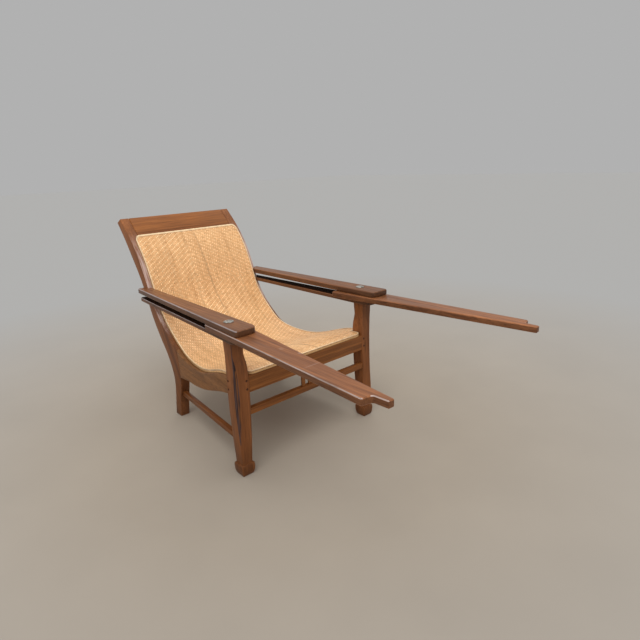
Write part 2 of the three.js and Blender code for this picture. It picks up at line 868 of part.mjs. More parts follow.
// A board outline that tapers to the back and is notched round the post there.
function boardOutline(front, rear, inset, rounds, middleZ) {
  const notch = postFrontInArm(middleZ) + armNotchReach;
  return roundedOutline([
    [armFrontInner, front, rounds.inner],
    [armFrontOuter - inset, front, rounds.outer],
    [armRearOuter - inset, rear, rounds.rear],
    [postHalfSpan + jointGap, rear, 0],
    [postHalfSpan + jointGap, notch, 0],
    [armRearInner, notch, 0],
  ]);
}

function makeArmBoard() {
  const rounds = { inner: armInnerRound, outer: armOuterRound, rear: armRearRound };
  const outline = boardOutline(armFront, armRear, 0, rounds, boardMiddle);
  const form = solidOf(prismUp(outline, -armBoardThickness, 0, armBevel));
  const hole = boltHole(-armBoardThickness - cutOverrun, cutOverrun);
  return geometryOf(cut(form, postInArm(), hole, dowel(boardMiddle, jointGap)));
}

function makeArmShelf() {
  const rounds = { inner: shelfFrontInnerRound, outer: shelfFrontOuterRound, rear: shelfRearRound };
  const outline = boardOutline(shelfFront, shelfRear, shelfInset, rounds, shelfMiddle);
  const form = solidOf(prismUp(outline, shelfBottom, shelfTop, arris));
  const hole = boltHole(shelfBottom - cutOverrun, shelfTop + cutOverrun);
  return geometryOf(cut(form, postInArm(), hole, dowel(shelfMiddle, jointGap)));
}

function makeBolt() {
  const dome = [];
  for (let step = 0; step <= boltDomeSteps; step += 1) {
    const angle = (Math.PI / 2) * step / boltDomeSteps;
    const rise = (boltHeadHeight - boltHeadEdge) * Math.sin(angle);
    const radius = boltHeadRadius * Math.cos(angle);
    dome.push(new THREE.Vector2(radius, jointGap + boltHeadEdge + rise));
  }
  dome.at(-1).x = 0;
  const tip = -armStack - boltBite + boltClearance;
  const profile = [
    new THREE.Vector2(0, tip),
    new THREE.Vector2(boltShankRadius, tip),
    new THREE.Vector2(boltShankRadius, jointGap),
    new THREE.Vector2(boltHeadRadius, jointGap),
    ...dome,
  ];
  return new THREE.LatheGeometry(profile, boltSides).rotateX(Math.PI / 2);
}

// Leg rest, about its own pivot, pointing forward

const leafShoulder = postFrontInArm(leafBottom) - leafPostClearance - pivotSetback;

function makeLegRest() {
  const outline = roundedOutline([
    [-leafStubInner, leafStub, leafStubRound],
    [-tongueTipInner, -leafShoulder - tongueLength, tongueRound],
    [-tongueTipOuter, -leafShoulder - tongueLength, tongueRound],
    [-leafShoulderInner, -leafShoulder - leafShoulderSlant, notchFillet],
    [leafShoulderOuter, -leafShoulder, leafRound],
    [leafStubOuter, leafStub, leafStubRound],
  ]);
  const form = solidOf(prismUp(outline, 0, leafThickness, leafBevel));
  const hole = roundBar(
    boltShankRadius + boltClearance,
    -cutOverrun,
    leafThickness + cutOverrun,
    boltSides,
  );
  return geometryOf(cut(form, solidOf(hole)));
}

// Seat panel

const panelTopDepth = crestPoint(panelTopDrop, 0).x;
const panelHalfTop = postHalfSpan - panelPostInset;
const panelHalfFront = railFrontOuter - panelRailInset;
const panelHalfLeg = legInner - panelLegClearance;

// The outline of the panel from above, drawn in by a margin on all its edges.
function panelOutline(margin) {
  const front = panelFrontSetback + margin;
  const notch = legBack + panelLegClearance + margin;
  const half = [
    [panelHalfLeg - margin, front, panelFrontRound - margin],
    [panelHalfLeg - margin, notch, 0],
    [panelHalfFront - margin, notch, 0],
    [panelHalfTop - margin, kneeDepth, 0],
    [panelHalfTop - margin, panelTopDepth - margin, panelTopRound - margin],
  ];
  const other = half.map(([x, y, radius]) => [-x, y, radius]).reverse();
  return roundedOutline([...half, ...other]);
}

// The space between two heights above the seat line, right across the chair.
function seatBand(low, high) {
  const outline = [...offsetRun(seatLine, low), ...offsetRun(seatLine, high).reverse()];
  return solidOf(prismAcross(outline, -legOuter, legOuter));
}

function standing(outline) {
  return solidOf(prismUp(outline, 0, backHeight + backReach));
}

const lathFoot = jointGap;
const lathTop = lathFoot + lathThickness;
const matFoot = lathTop + jointGap;
const matTop = matFoot + matThickness;
const edgingFoot = matTop + jointGap;
const edgingTop = edgingFoot + edgingThickness;

function panelBlank(low, high) {
  return seatBand(low, high).intersect(standing(panelOutline(0)));
}

const lathFrontDepth = panelFrontSetback + lathCrossWidth;
const lathTopDepth = panelTopDepth - lathCrossWidth * crestAxis.x;

function makeSideLath() {
  const lengthwise = roundedOutline([
    [panelHalfTop - lathWidth, lathTopDepth - jointGap, 0],
    [panelHalfTop - lathWidth, kneeDepth, 0],
    [panelHalfLeg - lathWidth, lathFrontDepth + jointGap, 0],
    [legOuter, lathFrontDepth + jointGap, 0],
    [legOuter, lathTopDepth - jointGap, 0],
  ]);
  return geometryOf(panelBlank(lathFoot, lathTop).intersect(standing(lengthwise)));
}

function makeCrossLath(fromDepth, toDepth) {
  const strip = rectangle(-legOuter, legOuter, fromDepth, toDepth);
  return geometryOf(panelBlank(lathFoot, lathTop).intersect(standing(strip)));
}

function makeMat() {
  return geometryOf(panelBlank(matFoot, matTop));
}

function makeEdging() {
  const inner = standing(panelOutline(edgingWidth));
  return geometryOf(panelBlank(edgingFoot, edgingTop).subtract(inner));
}

// Assembly

function piece(name, geometry, finish) {
  const material = new THREE.MeshStandardMaterial({ ...finish, flatShading: true });
  const mesh = new THREE.Mesh(geometry, material);
  mesh.name = name;
  return mesh;
}

// The same piece on both sides of the chair.
function pair(name, geometry, finish) {
  return [
    piece(`${name}_right`, geometry, finish),
    piece(`${name}_left`, mirrored(geometry), finish),
  ];
}

const chair = new THREE.Group();

chair.add(...pair('post', makePost(), darkWood));
chair.add(...pair('front_leg', makeFrontLeg(), darkWood));
chair.add(...pair('seat_rail', makeSeatRail(), darkWood));
chair.add(...pair('side_stretcher', makeSideStretcher(), darkWood));
chair.add(piece('front_rail', makeFrontRail(), darkWood));
chair.add(piece('crest_rail', makeCrestRail(), darkWood));
chair.add(piece('rear_cross_rail', makeCrossRail(), darkWood));
chair.add(piece('front_stretcher', makeFrontStretcher(), darkWood));

const uprightNames = ['front_upright_left', 'front_upright_middle', 'front_upright_right'];
uprightNames.forEach((name, i) => {
  chair.add(piece(name, makeUpright(uprightPlaces[i]), darkWood));
});

const pegLevels = ['low', 'high'];
frontPegs(0).forEach((solid, i) => {
  chair.add(...pair(`leg_peg_front_${pegLevels[i]}`, geometryOf(solid), pegWood));
});
sidePegs(0).forEach((solid, i) => {
  chair.add(...pair(`leg_peg_side_${pegLevels[i]}`, geometryOf(solid), pegWood));
});
chair.add(...pair('crest_peg', geometryOf(crestPeg(0)), pegWood));

const arms = new THREE.Group();
arms.position.z = armHeight;
arms.rotation.x = -armSlope;
arms.add(...pair('arm_board', makeArmBoard(), armWood));
arms.add(...pair('arm_shelf', makeArmShelf(), armWood));
arms.add(...pair('arm_board_dowel', geometryOf(dowel(boardMiddle, 0)), pegWood));
arms.add(...pair('arm_shelf_dowel', geometryOf(dowel(shelfMiddle, 0)), pegWood));

const legRests = pair('leg_rest', makeLegRest(), armWood);
const bolts = pair('pivot_bolt', geometryOf(solidOf(makeBolt())), wornSteel);
[1, -1].forEach((side, i) => {
  const pivot = new THREE.Group();
  pivot.position.set(side * pivotHalfSpan, pivotSetback, 0);
  legRests[i].position.z = leafBottom;
  legRests[i].rotation.z = side * leafSplay;
  pivot.add(bolts[i], legRests[i]);
  arms.add(pivot);
});
chair.add(arms);

chair.add(...pair('panel_side_lath', makeSideLath(), lathWood));
const frontLath = makeCrossLath(panelFrontSetback, lathFrontDepth);
chair.add(piece('panel_front_lath', frontLath, lathWood));
chair.add(piece('panel_top_lath', makeCrossLath(lathTopDepth, panelTopDepth), lathWood));
chair.add(piece('woven_mat', makeMat(), rattan));
chair.add(piece('mat_edging', makeEdging(), paleCane));

// The finished chair stands with its origin on the floor, below the middle of all it covers.
const whole = new THREE.Group();
whole.add(chair);
whole.updateMatrixWorld(true);
const middle = new THREE.Box3().setFromObject(chair, true).getCenter(new THREE.Vector3());
chair.position.set(0, -middle.y, 0);

export default whole;
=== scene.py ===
import json
import math

import bpy
import numpy as np
from mathutils import Matrix, Vector


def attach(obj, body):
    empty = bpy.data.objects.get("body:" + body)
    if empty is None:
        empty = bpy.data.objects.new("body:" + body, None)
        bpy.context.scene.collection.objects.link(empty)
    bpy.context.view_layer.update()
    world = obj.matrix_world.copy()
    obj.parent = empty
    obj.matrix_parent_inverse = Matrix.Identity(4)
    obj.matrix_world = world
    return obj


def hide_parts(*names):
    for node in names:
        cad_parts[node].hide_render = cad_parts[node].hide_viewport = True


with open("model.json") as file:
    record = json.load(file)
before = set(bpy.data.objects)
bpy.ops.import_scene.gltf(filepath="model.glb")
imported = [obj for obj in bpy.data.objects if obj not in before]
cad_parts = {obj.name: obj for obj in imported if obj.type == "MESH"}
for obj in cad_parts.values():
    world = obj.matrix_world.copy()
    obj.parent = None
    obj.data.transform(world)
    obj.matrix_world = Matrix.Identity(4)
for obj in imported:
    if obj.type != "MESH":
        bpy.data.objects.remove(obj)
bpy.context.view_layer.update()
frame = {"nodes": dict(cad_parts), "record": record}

bl_info = {
    "name": "Planters Chair",
    "version": (1, 0, 0),
    "blender": (4, 5, 0),
    "location": "View3D > Sidebar > Planters Chair",
    "description": "Dresses a planters chair with swing-out leg rests in worked wood and woven rattan",
    "category": "Object",
}

# Which pieces are what
SIDES = ("left", "right")
POSTS = [f"post_{side}" for side in SIDES]
FRONT_LEGS = [f"front_leg_{side}" for side in SIDES]
SEAT_RAILS = [f"seat_rail_{side}" for side in SIDES]
SIDE_STRETCHERS = [f"side_stretcher_{side}" for side in SIDES]
CROSS_RAILS = ["front_rail", "crest_rail", "rear_cross_rail", "front_stretcher"]
UPRIGHTS = [f"front_upright_{place}" for place in ("left", "middle", "right")]
ARM_BOARDS = [f"{board}_{side}" for board in ("arm_board", "arm_shelf") for side in SIDES]
LEG_RESTS = [f"leg_rest_{side}" for side in SIDES]
BOLTS = [f"pivot_bolt_{side}" for side in SIDES]
SIDE_LATHS = [f"panel_side_lath_{side}" for side in SIDES]
CROSS_LATHS = ["panel_front_lath", "panel_top_lath"]
PEGS = sorted(name for name in frame["nodes"] if "peg" in name or "dowel" in name)

# Grain runs along these directions, given as the piece's long, wide and thin directions
GRAIN_ACROSS = ((1, 0, 0), (0, 0, 1), (0, 1, 0))
GRAIN_DEEP = ((0, 1, 0), (0, 0, 1), (1, 0, 0))
GRAIN_FLAT = ((0, 1, 0), (1, 0, 0), (0, 0, 1))
GRAIN_UP = ((0, 0, 1), (1, 0, 0), (0, 1, 0))
GRAIN_BACK = ((0, 0.46, 0.888), (1, 0, 0), (0, 0.888, -0.46))

# The scratch across the left leg rest and its two bruises: centre, and reach along x, y and z
LEAF_MARKS = (
    ((-0.336, -0.570, 0.556), (0.042, 0.0018, 0.02)),
    ((-0.318, -0.408, 0.556), (0.007, 0.011, 0.02)),
    ((-0.304, -0.476, 0.556), (0.006, 0.008, 0.02)),
)

# Stains and tints: a colour, times a tone that changes from one place to another along an axis, most often upwards.
# The seat rails' bluish grey tint is a painted reflection of the pale backdrop.
# The arms are darkest at their front ends, where hands hold them, and the leg rests palest at their tips
POST_STAIN = {"colour": (0.97, 1.0, 1.30), "low": (0.10, 0.64), "high": (0.62, 1.16)}
FRONT_LEG_STAIN = {"colour": (1.0, 1.0, 1.22), "low": (0.06, 0.66), "high": (0.10, 0.90)}
# The seat rails' colour is a painted reflection: a bluish grey sheen of the backdrop on their sides
SEAT_RAIL_REFLECTION_TINT = {"colour": (0.87, 1.06, 1.38)}
STRETCHER_STAIN = {"colour": (0.86, 0.82, 0.82)}
CROSS_RAIL_STAIN = {"low": (0.35, 0.92), "high": (0.80, 1.28)}
UPRIGHT_STAIN = {"colour": (0.9, 0.9, 0.9)}
HELD_END = {"colour": (0.89, 0.97, 1.06), "low": (-0.22, 0.74), "high": (-0.04, 1.0), "axis": 1}
LEAF_STAIN = {"colour": (1.03, 1.05, 1.05), "low": (-0.85, 1.18), "high": (-0.26, 0.84), "axis": 1}

# Heights on the stiles, and how far a pale painted sheen, a painted highlight of the lacquer, lies on their fronts
# there
SHEEN_HEIGHTS = ((0.37, 0.45, 0.68, 0.80), (0.0, 1.0, 1.0, 0.0))

# The heights between which the front legs' outer corners are chamfered
CHAMFER_HEIGHTS = (0.10, 0.505)

# How far the planks that the pieces are cut from lie apart, along, across and through the grain
PLANK_STEP = (0.73, 0.41, 0.29)

# Streaks along, across and through the grain, per metre, and the tones at which they are dark and light
FRAME_STREAK = (1.6, 48, 34)
FRAME_STOPS = (0.26, 0.74)
ARM_GRAIN = {"streak": (2.4, 85, 60), "stops": (0.24, 0.72)}

LATH_LIGHT = (0.74, 0.46, 0.22)
LATH_DARK = (0.52, 0.29, 0.125)
PEG_BROWN = (0.074, 0.028, 0.014)

# A scratch or bruise pales the wood this much, over this share of its reach
MARK_STRENGTH = 0.30
MARK_CORE = 0.55

# The sides of the arms and leg rests have this share of their wood's colour, as painted shade
SIDES_SHADE_SHARE = 0.55

# Which faces are which, by their normals. On the boards, one whose z is under STEEP is a side, one over LEVEL
# is a flat face, and one between STEEP and ROUNDED, which leans outward, is the outer edge, worn pale and given a
# painted highlight
STEEP = 0.35
LEVEL = 0.95
ROUNDED = 0.93
LEANING = 0.2
CHAMFER_FACING = 0.96
STILE_FRONT = (-0.62, 0.15)
MAT_SIDE = 0.6

# Mesh work: points this near are one, faces this near to level with each other are one, in metres and radians
SAME_POINT = 0.00002
SAME_PLANE = math.radians(0.4)
NO_AREA = 0.00001
SMOOTH_BELOW = math.radians(32)

# Bevels: edges sharper than this many degrees are rounded, in this many steps
SAWN_ANGLE = 24.0
BEVEL_STEPS = 2

# The bolts and the cane edging have finer edges than the wood, and more facets
FINE_EDGE = 0.0006
FINE_ANGLE = 40.0

BODY_OF_NODE = {node: body for body, nodes in frame["record"]["behaviour"]["bodies"].items() for node in nodes}


# Sizes and colours that a user would change

class WoodSettings(bpy.types.PropertyGroup):
    softened_edge: bpy.props.FloatProperty(
        name="Softened Edge", description="How far sawn edges are rounded by wear",
        default=0.0009, min=0.0, unit="LENGTH")
    handled_edge: bpy.props.FloatProperty(
        name="Handled Edge", description="How far the edges of the arms and leg rests are rounded by hands",
        default=0.0030, min=0.0, unit="LENGTH")
    frame_light: bpy.props.FloatVectorProperty(
        name="Frame Light", description="Lighter streaks of the frame's wood",
        default=(0.335, 0.119, 0.029), size=3, subtype="COLOR")
    frame_dark: bpy.props.FloatVectorProperty(
        name="Frame Dark", description="Darker streaks of the frame's wood",
        default=(0.175, 0.056, 0.014), size=3, subtype="COLOR")
    arm_light: bpy.props.FloatVectorProperty(
        name="Arm Light", description="Lighter streaks of the arms and leg rests",
        default=(0.400, 0.150, 0.054), size=3, subtype="COLOR")
    arm_dark: bpy.props.FloatVectorProperty(
        name="Arm Dark", description="Darker streaks of the arms and leg rests",
        default=(0.185, 0.062, 0.023), size=3, subtype="COLOR")
    # The pale of worn wood, also laid on as a painted highlight on the arms' outer edges and as a painted sheen on
    # the stiles' fronts
    wear_and_sheen_light: bpy.props.FloatVectorProperty(
        name="Worn Edge", description="Edges that hands have rubbed pale",
        default=(0.590, 0.430, 0.380), size=3, subtype="COLOR")


class MatSettings(bpy.types.PropertyGroup):
    strand_width: bpy.props.FloatProperty(
        name="Long Strand Width", description="Distance between neighbouring strands that run along the seat",
        default=0.0080, min=0.002, unit="LENGTH")
    cross_width: bpy.props.FloatProperty(
        name="Cross Strand Width", description="Distance between neighbouring strands that run across the seat",
        default=0.0053, min=0.002, unit="LENGTH")
    thickness: bpy.props.FloatProperty(
        name="Thickness", description="How thick the mat is",
        default=0.0040, min=0.001, unit="LENGTH")
    relief: bpy.props.FloatProperty(
        name="Relief", description="How far a strand rises where it lies on top",
        default=0.0008, min=0.0, unit="LENGTH")
    diamond_sideways: bpy.props.FloatProperty(
        name="Diamond Sideways",
        description="Place of the middle of the nested diamonds, from the mat's middle line",
        default=-0.048, unit="LENGTH")
    diamond_up: bpy.props.FloatProperty(
        name="Diamond Up",
        description="Place of the middle of the nested diamonds, along the mat from its front edge",
        default=0.866, unit="LENGTH")
    # The long and the cross strands are one rattan: their difference in colour is painted sheen and shade that the
    # floats catch by their direction
    rattan_light: bpy.props.FloatVectorProperty(
        name="Rattan Light", description="Strands that run along the seat",
        default=(1.000, 0.690, 0.395), size=3, subtype="COLOR")
    rattan_dark: bpy.props.FloatVectorProperty(
        name="Rattan Dark", description="Strands that run across the seat",
        default=(0.850, 0.505, 0.245), size=3, subtype="COLOR")
    edging_colour: bpy.props.FloatVectorProperty(
        name="Cane Edging", description="Split cane round the mat",
        default=(1.000, 0.730, 0.440), size=3, subtype="COLOR")


class ViewSettings(bpy.types.PropertyGroup):
    camera_place: bpy.props.FloatVectorProperty(
        name="Camera Place", description="Where the camera stands",
        default=(-1.12153, -1.50517, 1.07135), size=3, subtype="TRANSLATION")
    heading: bpy.props.FloatProperty(
        name="Heading", description="Turn of the view to the right of the chair's depth",
        default=0.71794, subtype="ANGLE")
    tilt: bpy.props.FloatProperty(
        name="Tilt", description="Tilt of the view below the horizon",
        default=0.30751, subtype="ANGLE")
    roll: bpy.props.FloatProperty(
        name="Roll", description="Roll of the view about its own line",
        default=-0.03632, subtype="ANGLE")
    lens: bpy.props.FloatProperty(
        name="Lens", description="Focal length on a 36 mm sensor",
        default=27.79, min=5.0, unit="CAMERA")
    floor_colour: bpy.props.FloatVectorProperty(
        name="Floor", description="Plain pale floor near the chair",
        default=(0.375, 0.325, 0.270), size=3, subtype="COLOR")
    backdrop_colour: bpy.props.FloatVectorProperty(
        name="Backdrop", description="Plain pale grey that the floor runs out into",
        default=(0.440, 0.440, 0.440), size=3, subtype="COLOR")


# Materials

def fresh_material(name):
    material = bpy.data.materials.new(name)
    material.use_nodes = True
    tree = material.node_tree
    return material, tree, tree.nodes["Principled BSDF"]


def add_node(tree, kind, **settings):
    node = tree.nodes.new(kind)
    for key, value in settings.items():
        setattr(node, key, value)
    return node


def attribute_node(tree, name):
    return add_node(tree, "ShaderNodeAttribute", attribute_name=name)


def stretched_noise(tree, source, scale, detail=4.0, distortion=0.0):
    mapping = add_node(tree, "ShaderNodeMapping")
    mapping.inputs["Scale"].default_value = scale
    noise = add_node(tree, "ShaderNodeTexNoise")
    noise.inputs["Scale"].default_value = 1.0
    noise.inputs["Detail"].default_value = detail
    noise.inputs["Distortion"].default_value = distortion
    tree.links.new(source, mapping.inputs["Vector"])
    tree.links.new(mapping.outputs["Vector"], noise.inputs["Vector"])
    return noise.outputs["Fac"]


def ramp(tree, source, stops):
    node = add_node(tree, "ShaderNodeValToRGB")
    elements = node.color_ramp.elements
    while len(elements) < len(stops):
        elements.new(0.5)
    for element, (place, colour) in zip(elements, stops):
        element.position = place
        element.color = (*colour, 1.0)
    tree.links.new(source, node.inputs["Fac"])
    return node.outputs["Color"]


def grey(value):
    return (value, value, value)


def shaded(colour, share):
    return tuple(share * c for c in colour)


def mix_colour(tree, factor, first, second, blend="MIX"):
    node = add_node(tree, "ShaderNodeMix", data_type="RGBA", blend_type=blend)
    for socket, value in ((node.inputs["Factor"], factor), (node.inputs[6], first), (node.inputs[7], second)):
        if isinstance(value, bpy.types.NodeSocket):
            tree.links.new(value, socket)
        elif isinstance(value, (int, float)):
            socket.default_value = value
        else:
            socket.default_value = (*value, 1.0)
    return node.outputs[2]


def product(tree, colour, *others):
    for other in others:
        colour = mix_colour(tree, 1.0, colour, other, "MULTIPLY")
    return colour


def maths(tree, operation, *values):
    node = add_node(tree, "ShaderNodeMath", operation=operation)
    for socket, value in zip(node.inputs, values):
        if isinstance(value, bpy.types.NodeSocket):
            tree.links.new(value, socket)
        else:
            socket.default_value = value
    return node.outputs["Value"]


def mapped_range(tree, source, low, high, to_low, to_high):
    node = add_node(tree, "ShaderNodeMapRange")
    tree.links.new(source, node.inputs["Value"])
    for name, value in (("From Min", low), ("From Max", high), ("To Min", to_low), ("To Max", to_high)):
        node.inputs[name].default_value = value
    return node.outputs["Result"]


def bumped(tree, shader, source, strength, distance):
    bump = add_node(tree, "ShaderNodeBump")
    bump.inputs["Strength"].default_value = strength
    bump.inputs["Distance"].default_value = distance
    tree.links.new(source, bump.inputs["Height"])
    tree.links.new(bump.outputs["Normal"], shader.inputs["Normal"])


def mark(tree, place, centre, reach):
    """How far a scratch or bruise pales the wood. It fades out at its reach along x, y and z."""
    off = add_node(tree, "ShaderNodeVectorMath", operation="SUBTRACT")
    off.inputs[1].default_value = centre
    scaled = add_node(tree, "ShaderNodeVectorMath", operation="DIVIDE")
    scaled.inputs[1].default_value = reach
    length = add_node(tree, "ShaderNodeVectorMath", operation="LENGTH")
    tree.links.new(place, off.inputs[0])
    tree.links.new(off.outputs["Vector"], scaled.inputs[0])
    tree.links.new(scaled.outputs["Vector"], length.inputs[0])
    return mapped_range(tree, length.outputs["Value"], MARK_CORE, 1.0, MARK_STRENGTH, 0.0)


def wood_material(name, light, dark, rough=(0.36, 0.58), coat=0.04, gloss=0.22,
                  streak=FRAME_STREAK, stops=FRAME_STOPS, marks=()):
    """Straight-grained hardwood: broad streaks, fine pores, slow changes of tone, and the piece's own stains and
    tints; on the seat rails the tint is a painted reflection.

    Where a point attribute is 1, a pale painted sheen lies on the surface, a painted highlight of the lacquer. The
    marks pale the wood as real scratches and bruises.
    """
    material, tree, shader = fresh_material(name)
    grain = attribute_node(tree, "grain").outputs["Vector"]
    streaks = stretched_noise(tree, grain, streak, 6.0, 0.9)
    fibres = stretched_noise(tree, grain, (9, 520, 420), 3.0)
    clouds = stretched_noise(tree, grain, (2.6, 7, 7), 3.0)
    middle = tuple((a + b) / 2 for a, b in zip(light, dark))
    base = ramp(tree, streaks, [(stops[0], dark), (sum(stops) / 2, middle), (stops[1], light)])
    tones = ramp(tree, clouds, [(0.3, grey(0.80)), (0.7, grey(1.14))])
    pores = ramp(tree, fibres, [(0.36, grey(0.62)), (0.52, grey(1.0))])
    stained = product(tree, base, tones, pores, attribute_node(tree, "stain").outputs["Color"])
    lines = mapped_range(tree, stretched_noise(tree, grain, (6, 190, 160), 3.0), 0.38, 0.56, 0.35, 1.0)
    rubbed = maths(tree, "MULTIPLY", attribute_node(tree, "rubbed").outputs["Fac"], lines)
    place = add_node(tree, "ShaderNodeTexCoord").outputs["Object"]
    for centre, reach in marks:
        pale = maths(tree, "MULTIPLY", lines, mark(tree, place, centre, reach))
        rubbed = maths(tree, "MAXIMUM", rubbed, pale)
    worn = tuple(bpy.context.scene.chair_wood.wear_and_sheen_light)
    tree.links.new(mix_colour(tree, rubbed, stained, worn), shader.inputs["Base Color"])
    tree.links.new(mapped_range(tree, clouds, 0.3, 0.7, *rough), shader.inputs["Roughness"])
    shader.inputs["Specular IOR Level"].default_value = gloss
    shader.inputs["Coat Weight"].default_value = coat
    shader.inputs["Coat Roughness"].default_value = 0.32
    bumped(tree, shader, fibres, 0.30, 0.0005)
    return material


def chamfer_material(name, light, dark):
    """The frame's wood, darkened to near black: a broad band of it high on the leg, and ragged lines below."""
    material, tree, shader = fresh_material(name)
    grain = attribute_node(tree, "grain").outputs["Vector"]
    streaks = stretched_noise(tree, grain, FRAME_STREAK, 6.0, 0.9)
    bare = ramp(tree, streaks, [(FRAME_STOPS[0], shaded(dark, 0.7)), (FRAME_STOPS[1], shaded(light, 0.7))])
    height = add_node(tree, "ShaderNodeSeparateXYZ")
    tree.links.new(add_node(tree, "ShaderNodeTexCoord").outputs["Object"], height.inputs["Vector"])
    reach = mapped_range(tree, height.outputs["Z"], 0.20, 0.40, 0.53, 0.66)
    ragged = stretched_noise(tree, grain, (7, 120, 120), 4.0, 0.7)
    covered = mapped_range(tree, maths(tree, "SUBTRACT", reach, ragged), -0.03, 0.03, 0.0, 1.0)
    specks = stretched_noise(tree, grain, (12, 260, 260), 3.0)
    darkening = ramp(tree, specks, [(0.36, (0.020, 0.010, 0.009)), (0.64, (0.092, 0.050, 0.044))])
    tree.links.new(mix_colour(tree, covered, bare, darkening), shader.inputs["Base Color"])
    shader.inputs["Roughness"].default_value = 0.66
    shader.inputs["Specular IOR Level"].default_value = 0.25
    bumped(tree, shader, ragged, 0.5, 0.0012)
    return material


def end_grain_material(name, dark):
    material, tree, shader = fresh_material(name)
    place = add_node(tree, "ShaderNodeTexCoord").outputs["Object"]
    rings = stretched_noise(tree, place, (260, 260, 260), 4.0)
    colour = ramp(tree, rings, [(0.35, shaded(dark, 0.55)), (0.65, shaded(dark, 1.5))])
    tree.links.new(colour, shader.inputs["Base Color"])
    shader.inputs["Roughness"].default_value = 0.70
    shader.inputs["Specular IOR Level"].default_value = 0.2
    bumped(tree, shader, rings, 0.35, 0.0004)
    return material


def steel_material(name):
    material, tree, shader = fresh_material(name)
    place = add_node(tree, "ShaderNodeTexCoord").outputs["Object"]
    stain = stretched_noise(tree, place, (140, 140, 140), 5.0)
    fine = stretched_noise(tree, place, (900, 900, 900), 3.0)
    colour = ramp(tree, stain, [(0.35, (0.20, 0.175, 0.150)), (0.60, (0.56, 0.55, 0.51))])
    tree.links.new(colour, shader.inputs["Base Color"])
    tree.links.new(mapped_range(tree, stain, 0.3, 0.7, 0.58, 0.36), shader.inputs["Roughness"])
    shader.inputs["Metallic"].default_value = 0.7
    bumped(tree, shader, fine, 0.35, 0.0003)
    return material


def rattan_material(name, light, dark):
    """Twilled strands. The UV map counts them across and along the seat, and "crown" is high where one is on top.

    The ramps are, in turn, painted shade in the gaps between strands with a painted highlight on their tops, the
    bundles of strands that have aged, the single floats, and the mat's broad patches and fine specks. Seams and the
    groove at the rim are brown.
    """
    material, tree, shader = fresh_material(name)
    uv = add_node(tree, "ShaderNodeUVMap", uv_map="strands").outputs["UV"]
    place = add_node(tree, "ShaderNodeTexCoord").outputs["Object"]
    crown, over, shade, rim = (attribute_node(tree, key).outputs["Fac"] for key in ("crown", "over", "shade", "rim"))
    along, across, bundles, floats = (stretched_noise(tree, uv, stretch, 1.0) for stretch in (
        (1.3, 0.12, 1.0), (0.12, 1.3, 1.0), (0.40, 0.016, 1.0), (0.47, 0.62, 1.0)))
    patches = stretched_noise(tree, place, (9, 9, 9), 4.0)
    specks = stretched_noise(tree, place, (95, 95, 95), 2.0)
    # Long strands lighter than cross strands: painted sheen and shade by the floats' direction
    long_strand = ramp(tree, along, [(0.32, shaded(light, 0.74)), (0.60, light)])
    cross_strand = ramp(tree, across, [(0.32, shaded(dark, 0.74)), (0.60, dark)])
    # The crown ramp paints shade in the gaps between strands and a painted highlight on their tops
    colour = product(
        tree, mix_colour(tree, over, cross_strand, long_strand),
        ramp(tree, crown, [(0.0, (0.36, 0.22, 0.12)), (0.34, (0.87, 0.77, 0.66)), (0.62, grey(1.12))]),
        ramp(tree, bundles, [(0.34, (0.92, 0.86, 0.79)), (0.56, grey(1.08))]),
        ramp(tree, floats, [(0.34, (0.91, 0.83, 0.74)), (0.60, grey(1.09))]),
        ramp(tree, patches, [(0.3, (0.93, 0.91, 0.88)), (0.7, (1.05, 1.05, 1.04))]),
        ramp(tree, specks, [(0.245, (0.42, 0.30, 0.20)), (0.29, grey(1.0))]))
    groove = mapped_range(tree, rim, GROOVE_PLACE, GROOVE_PLACE + GROOVE_WIDTH, 0.5, 1.0)
    colour = mix_colour(tree, maths(tree, "MULTIPLY", shade, groove), SEAM_BROWN, colour)
    tree.links.new(colour, shader.inputs["Base Color"])
    shader.inputs["Roughness"].default_value = 0.42
    shader.inputs["Specular IOR Level"].default_value = 0.34
    shader.inputs["Coat Weight"].default_value = 0.12
    shader.inputs["Coat Roughness"].default_value = 0.28
    fibres = stretched_noise(tree, place, (700, 700, 700), 2.0)
    bumped(tree, shader, fibres, 0.15, 0.0002)
    return material


def cane_material(name, colour):
    material, tree, shader = fresh_material(name)
    place = add_node(tree, "ShaderNodeTexCoord").outputs["Object"]
    patches = stretched_noise(tree, place, (60, 22, 60), 4.0)
    tree.links.new(ramp(tree, patches, [(0.32, shaded(colour, 0.78)), (0.62, colour)]), shader.inputs["Base Color"])
    shader.inputs["Roughness"].default_value = 0.40
    shader.inputs["Coat Weight"].default_value = 0.2
    bumped(tree, shader, patches, 0.2, 0.0004)
    return material


def plain_stage_material(name, near, far):
    """A plain floor that turns evenly into the backdrop's colour away from the chair.

    The lamps brighten the floor but not the backdrop, so far away it gets a share of the backdrop's colour.
    """
    material, tree, shader = fresh_material(name)
    place = add_node(tree, "ShaderNodeTexCoord").outputs["Object"]
    distance = add_node(tree, "ShaderNodeVectorMath", operation="LENGTH")
    tree.links.new(place, distance.inputs[0])
    away = mapped_range(tree, distance.outputs["Value"], *FLOOR_FADE, 0.0, 1.0)
    clouds = stretched_noise(tree, place, (2.2, 2.2, 2.2), 5.0)
    mottled = ramp(tree, clouds, [(0.3, shaded(near, 0.96)), (0.7, shaded(near, 1.04))])
    colour = mix_colour(tree, away, mottled, shaded(far, FAR_FLOOR_SHARE))
    tree.links.new(colour, shader.inputs["Base Color"])
    shader.inputs["Roughness"].default_value = 0.9
    shader.inputs["Specular IOR Level"].default_value = 0.2
    return material


# Worked pieces

def only(piece):
    bpy.ops.object.select_all(action="DESELECT")
    piece.select_set(True)
    bpy.context.view_layer.objects.active = piece


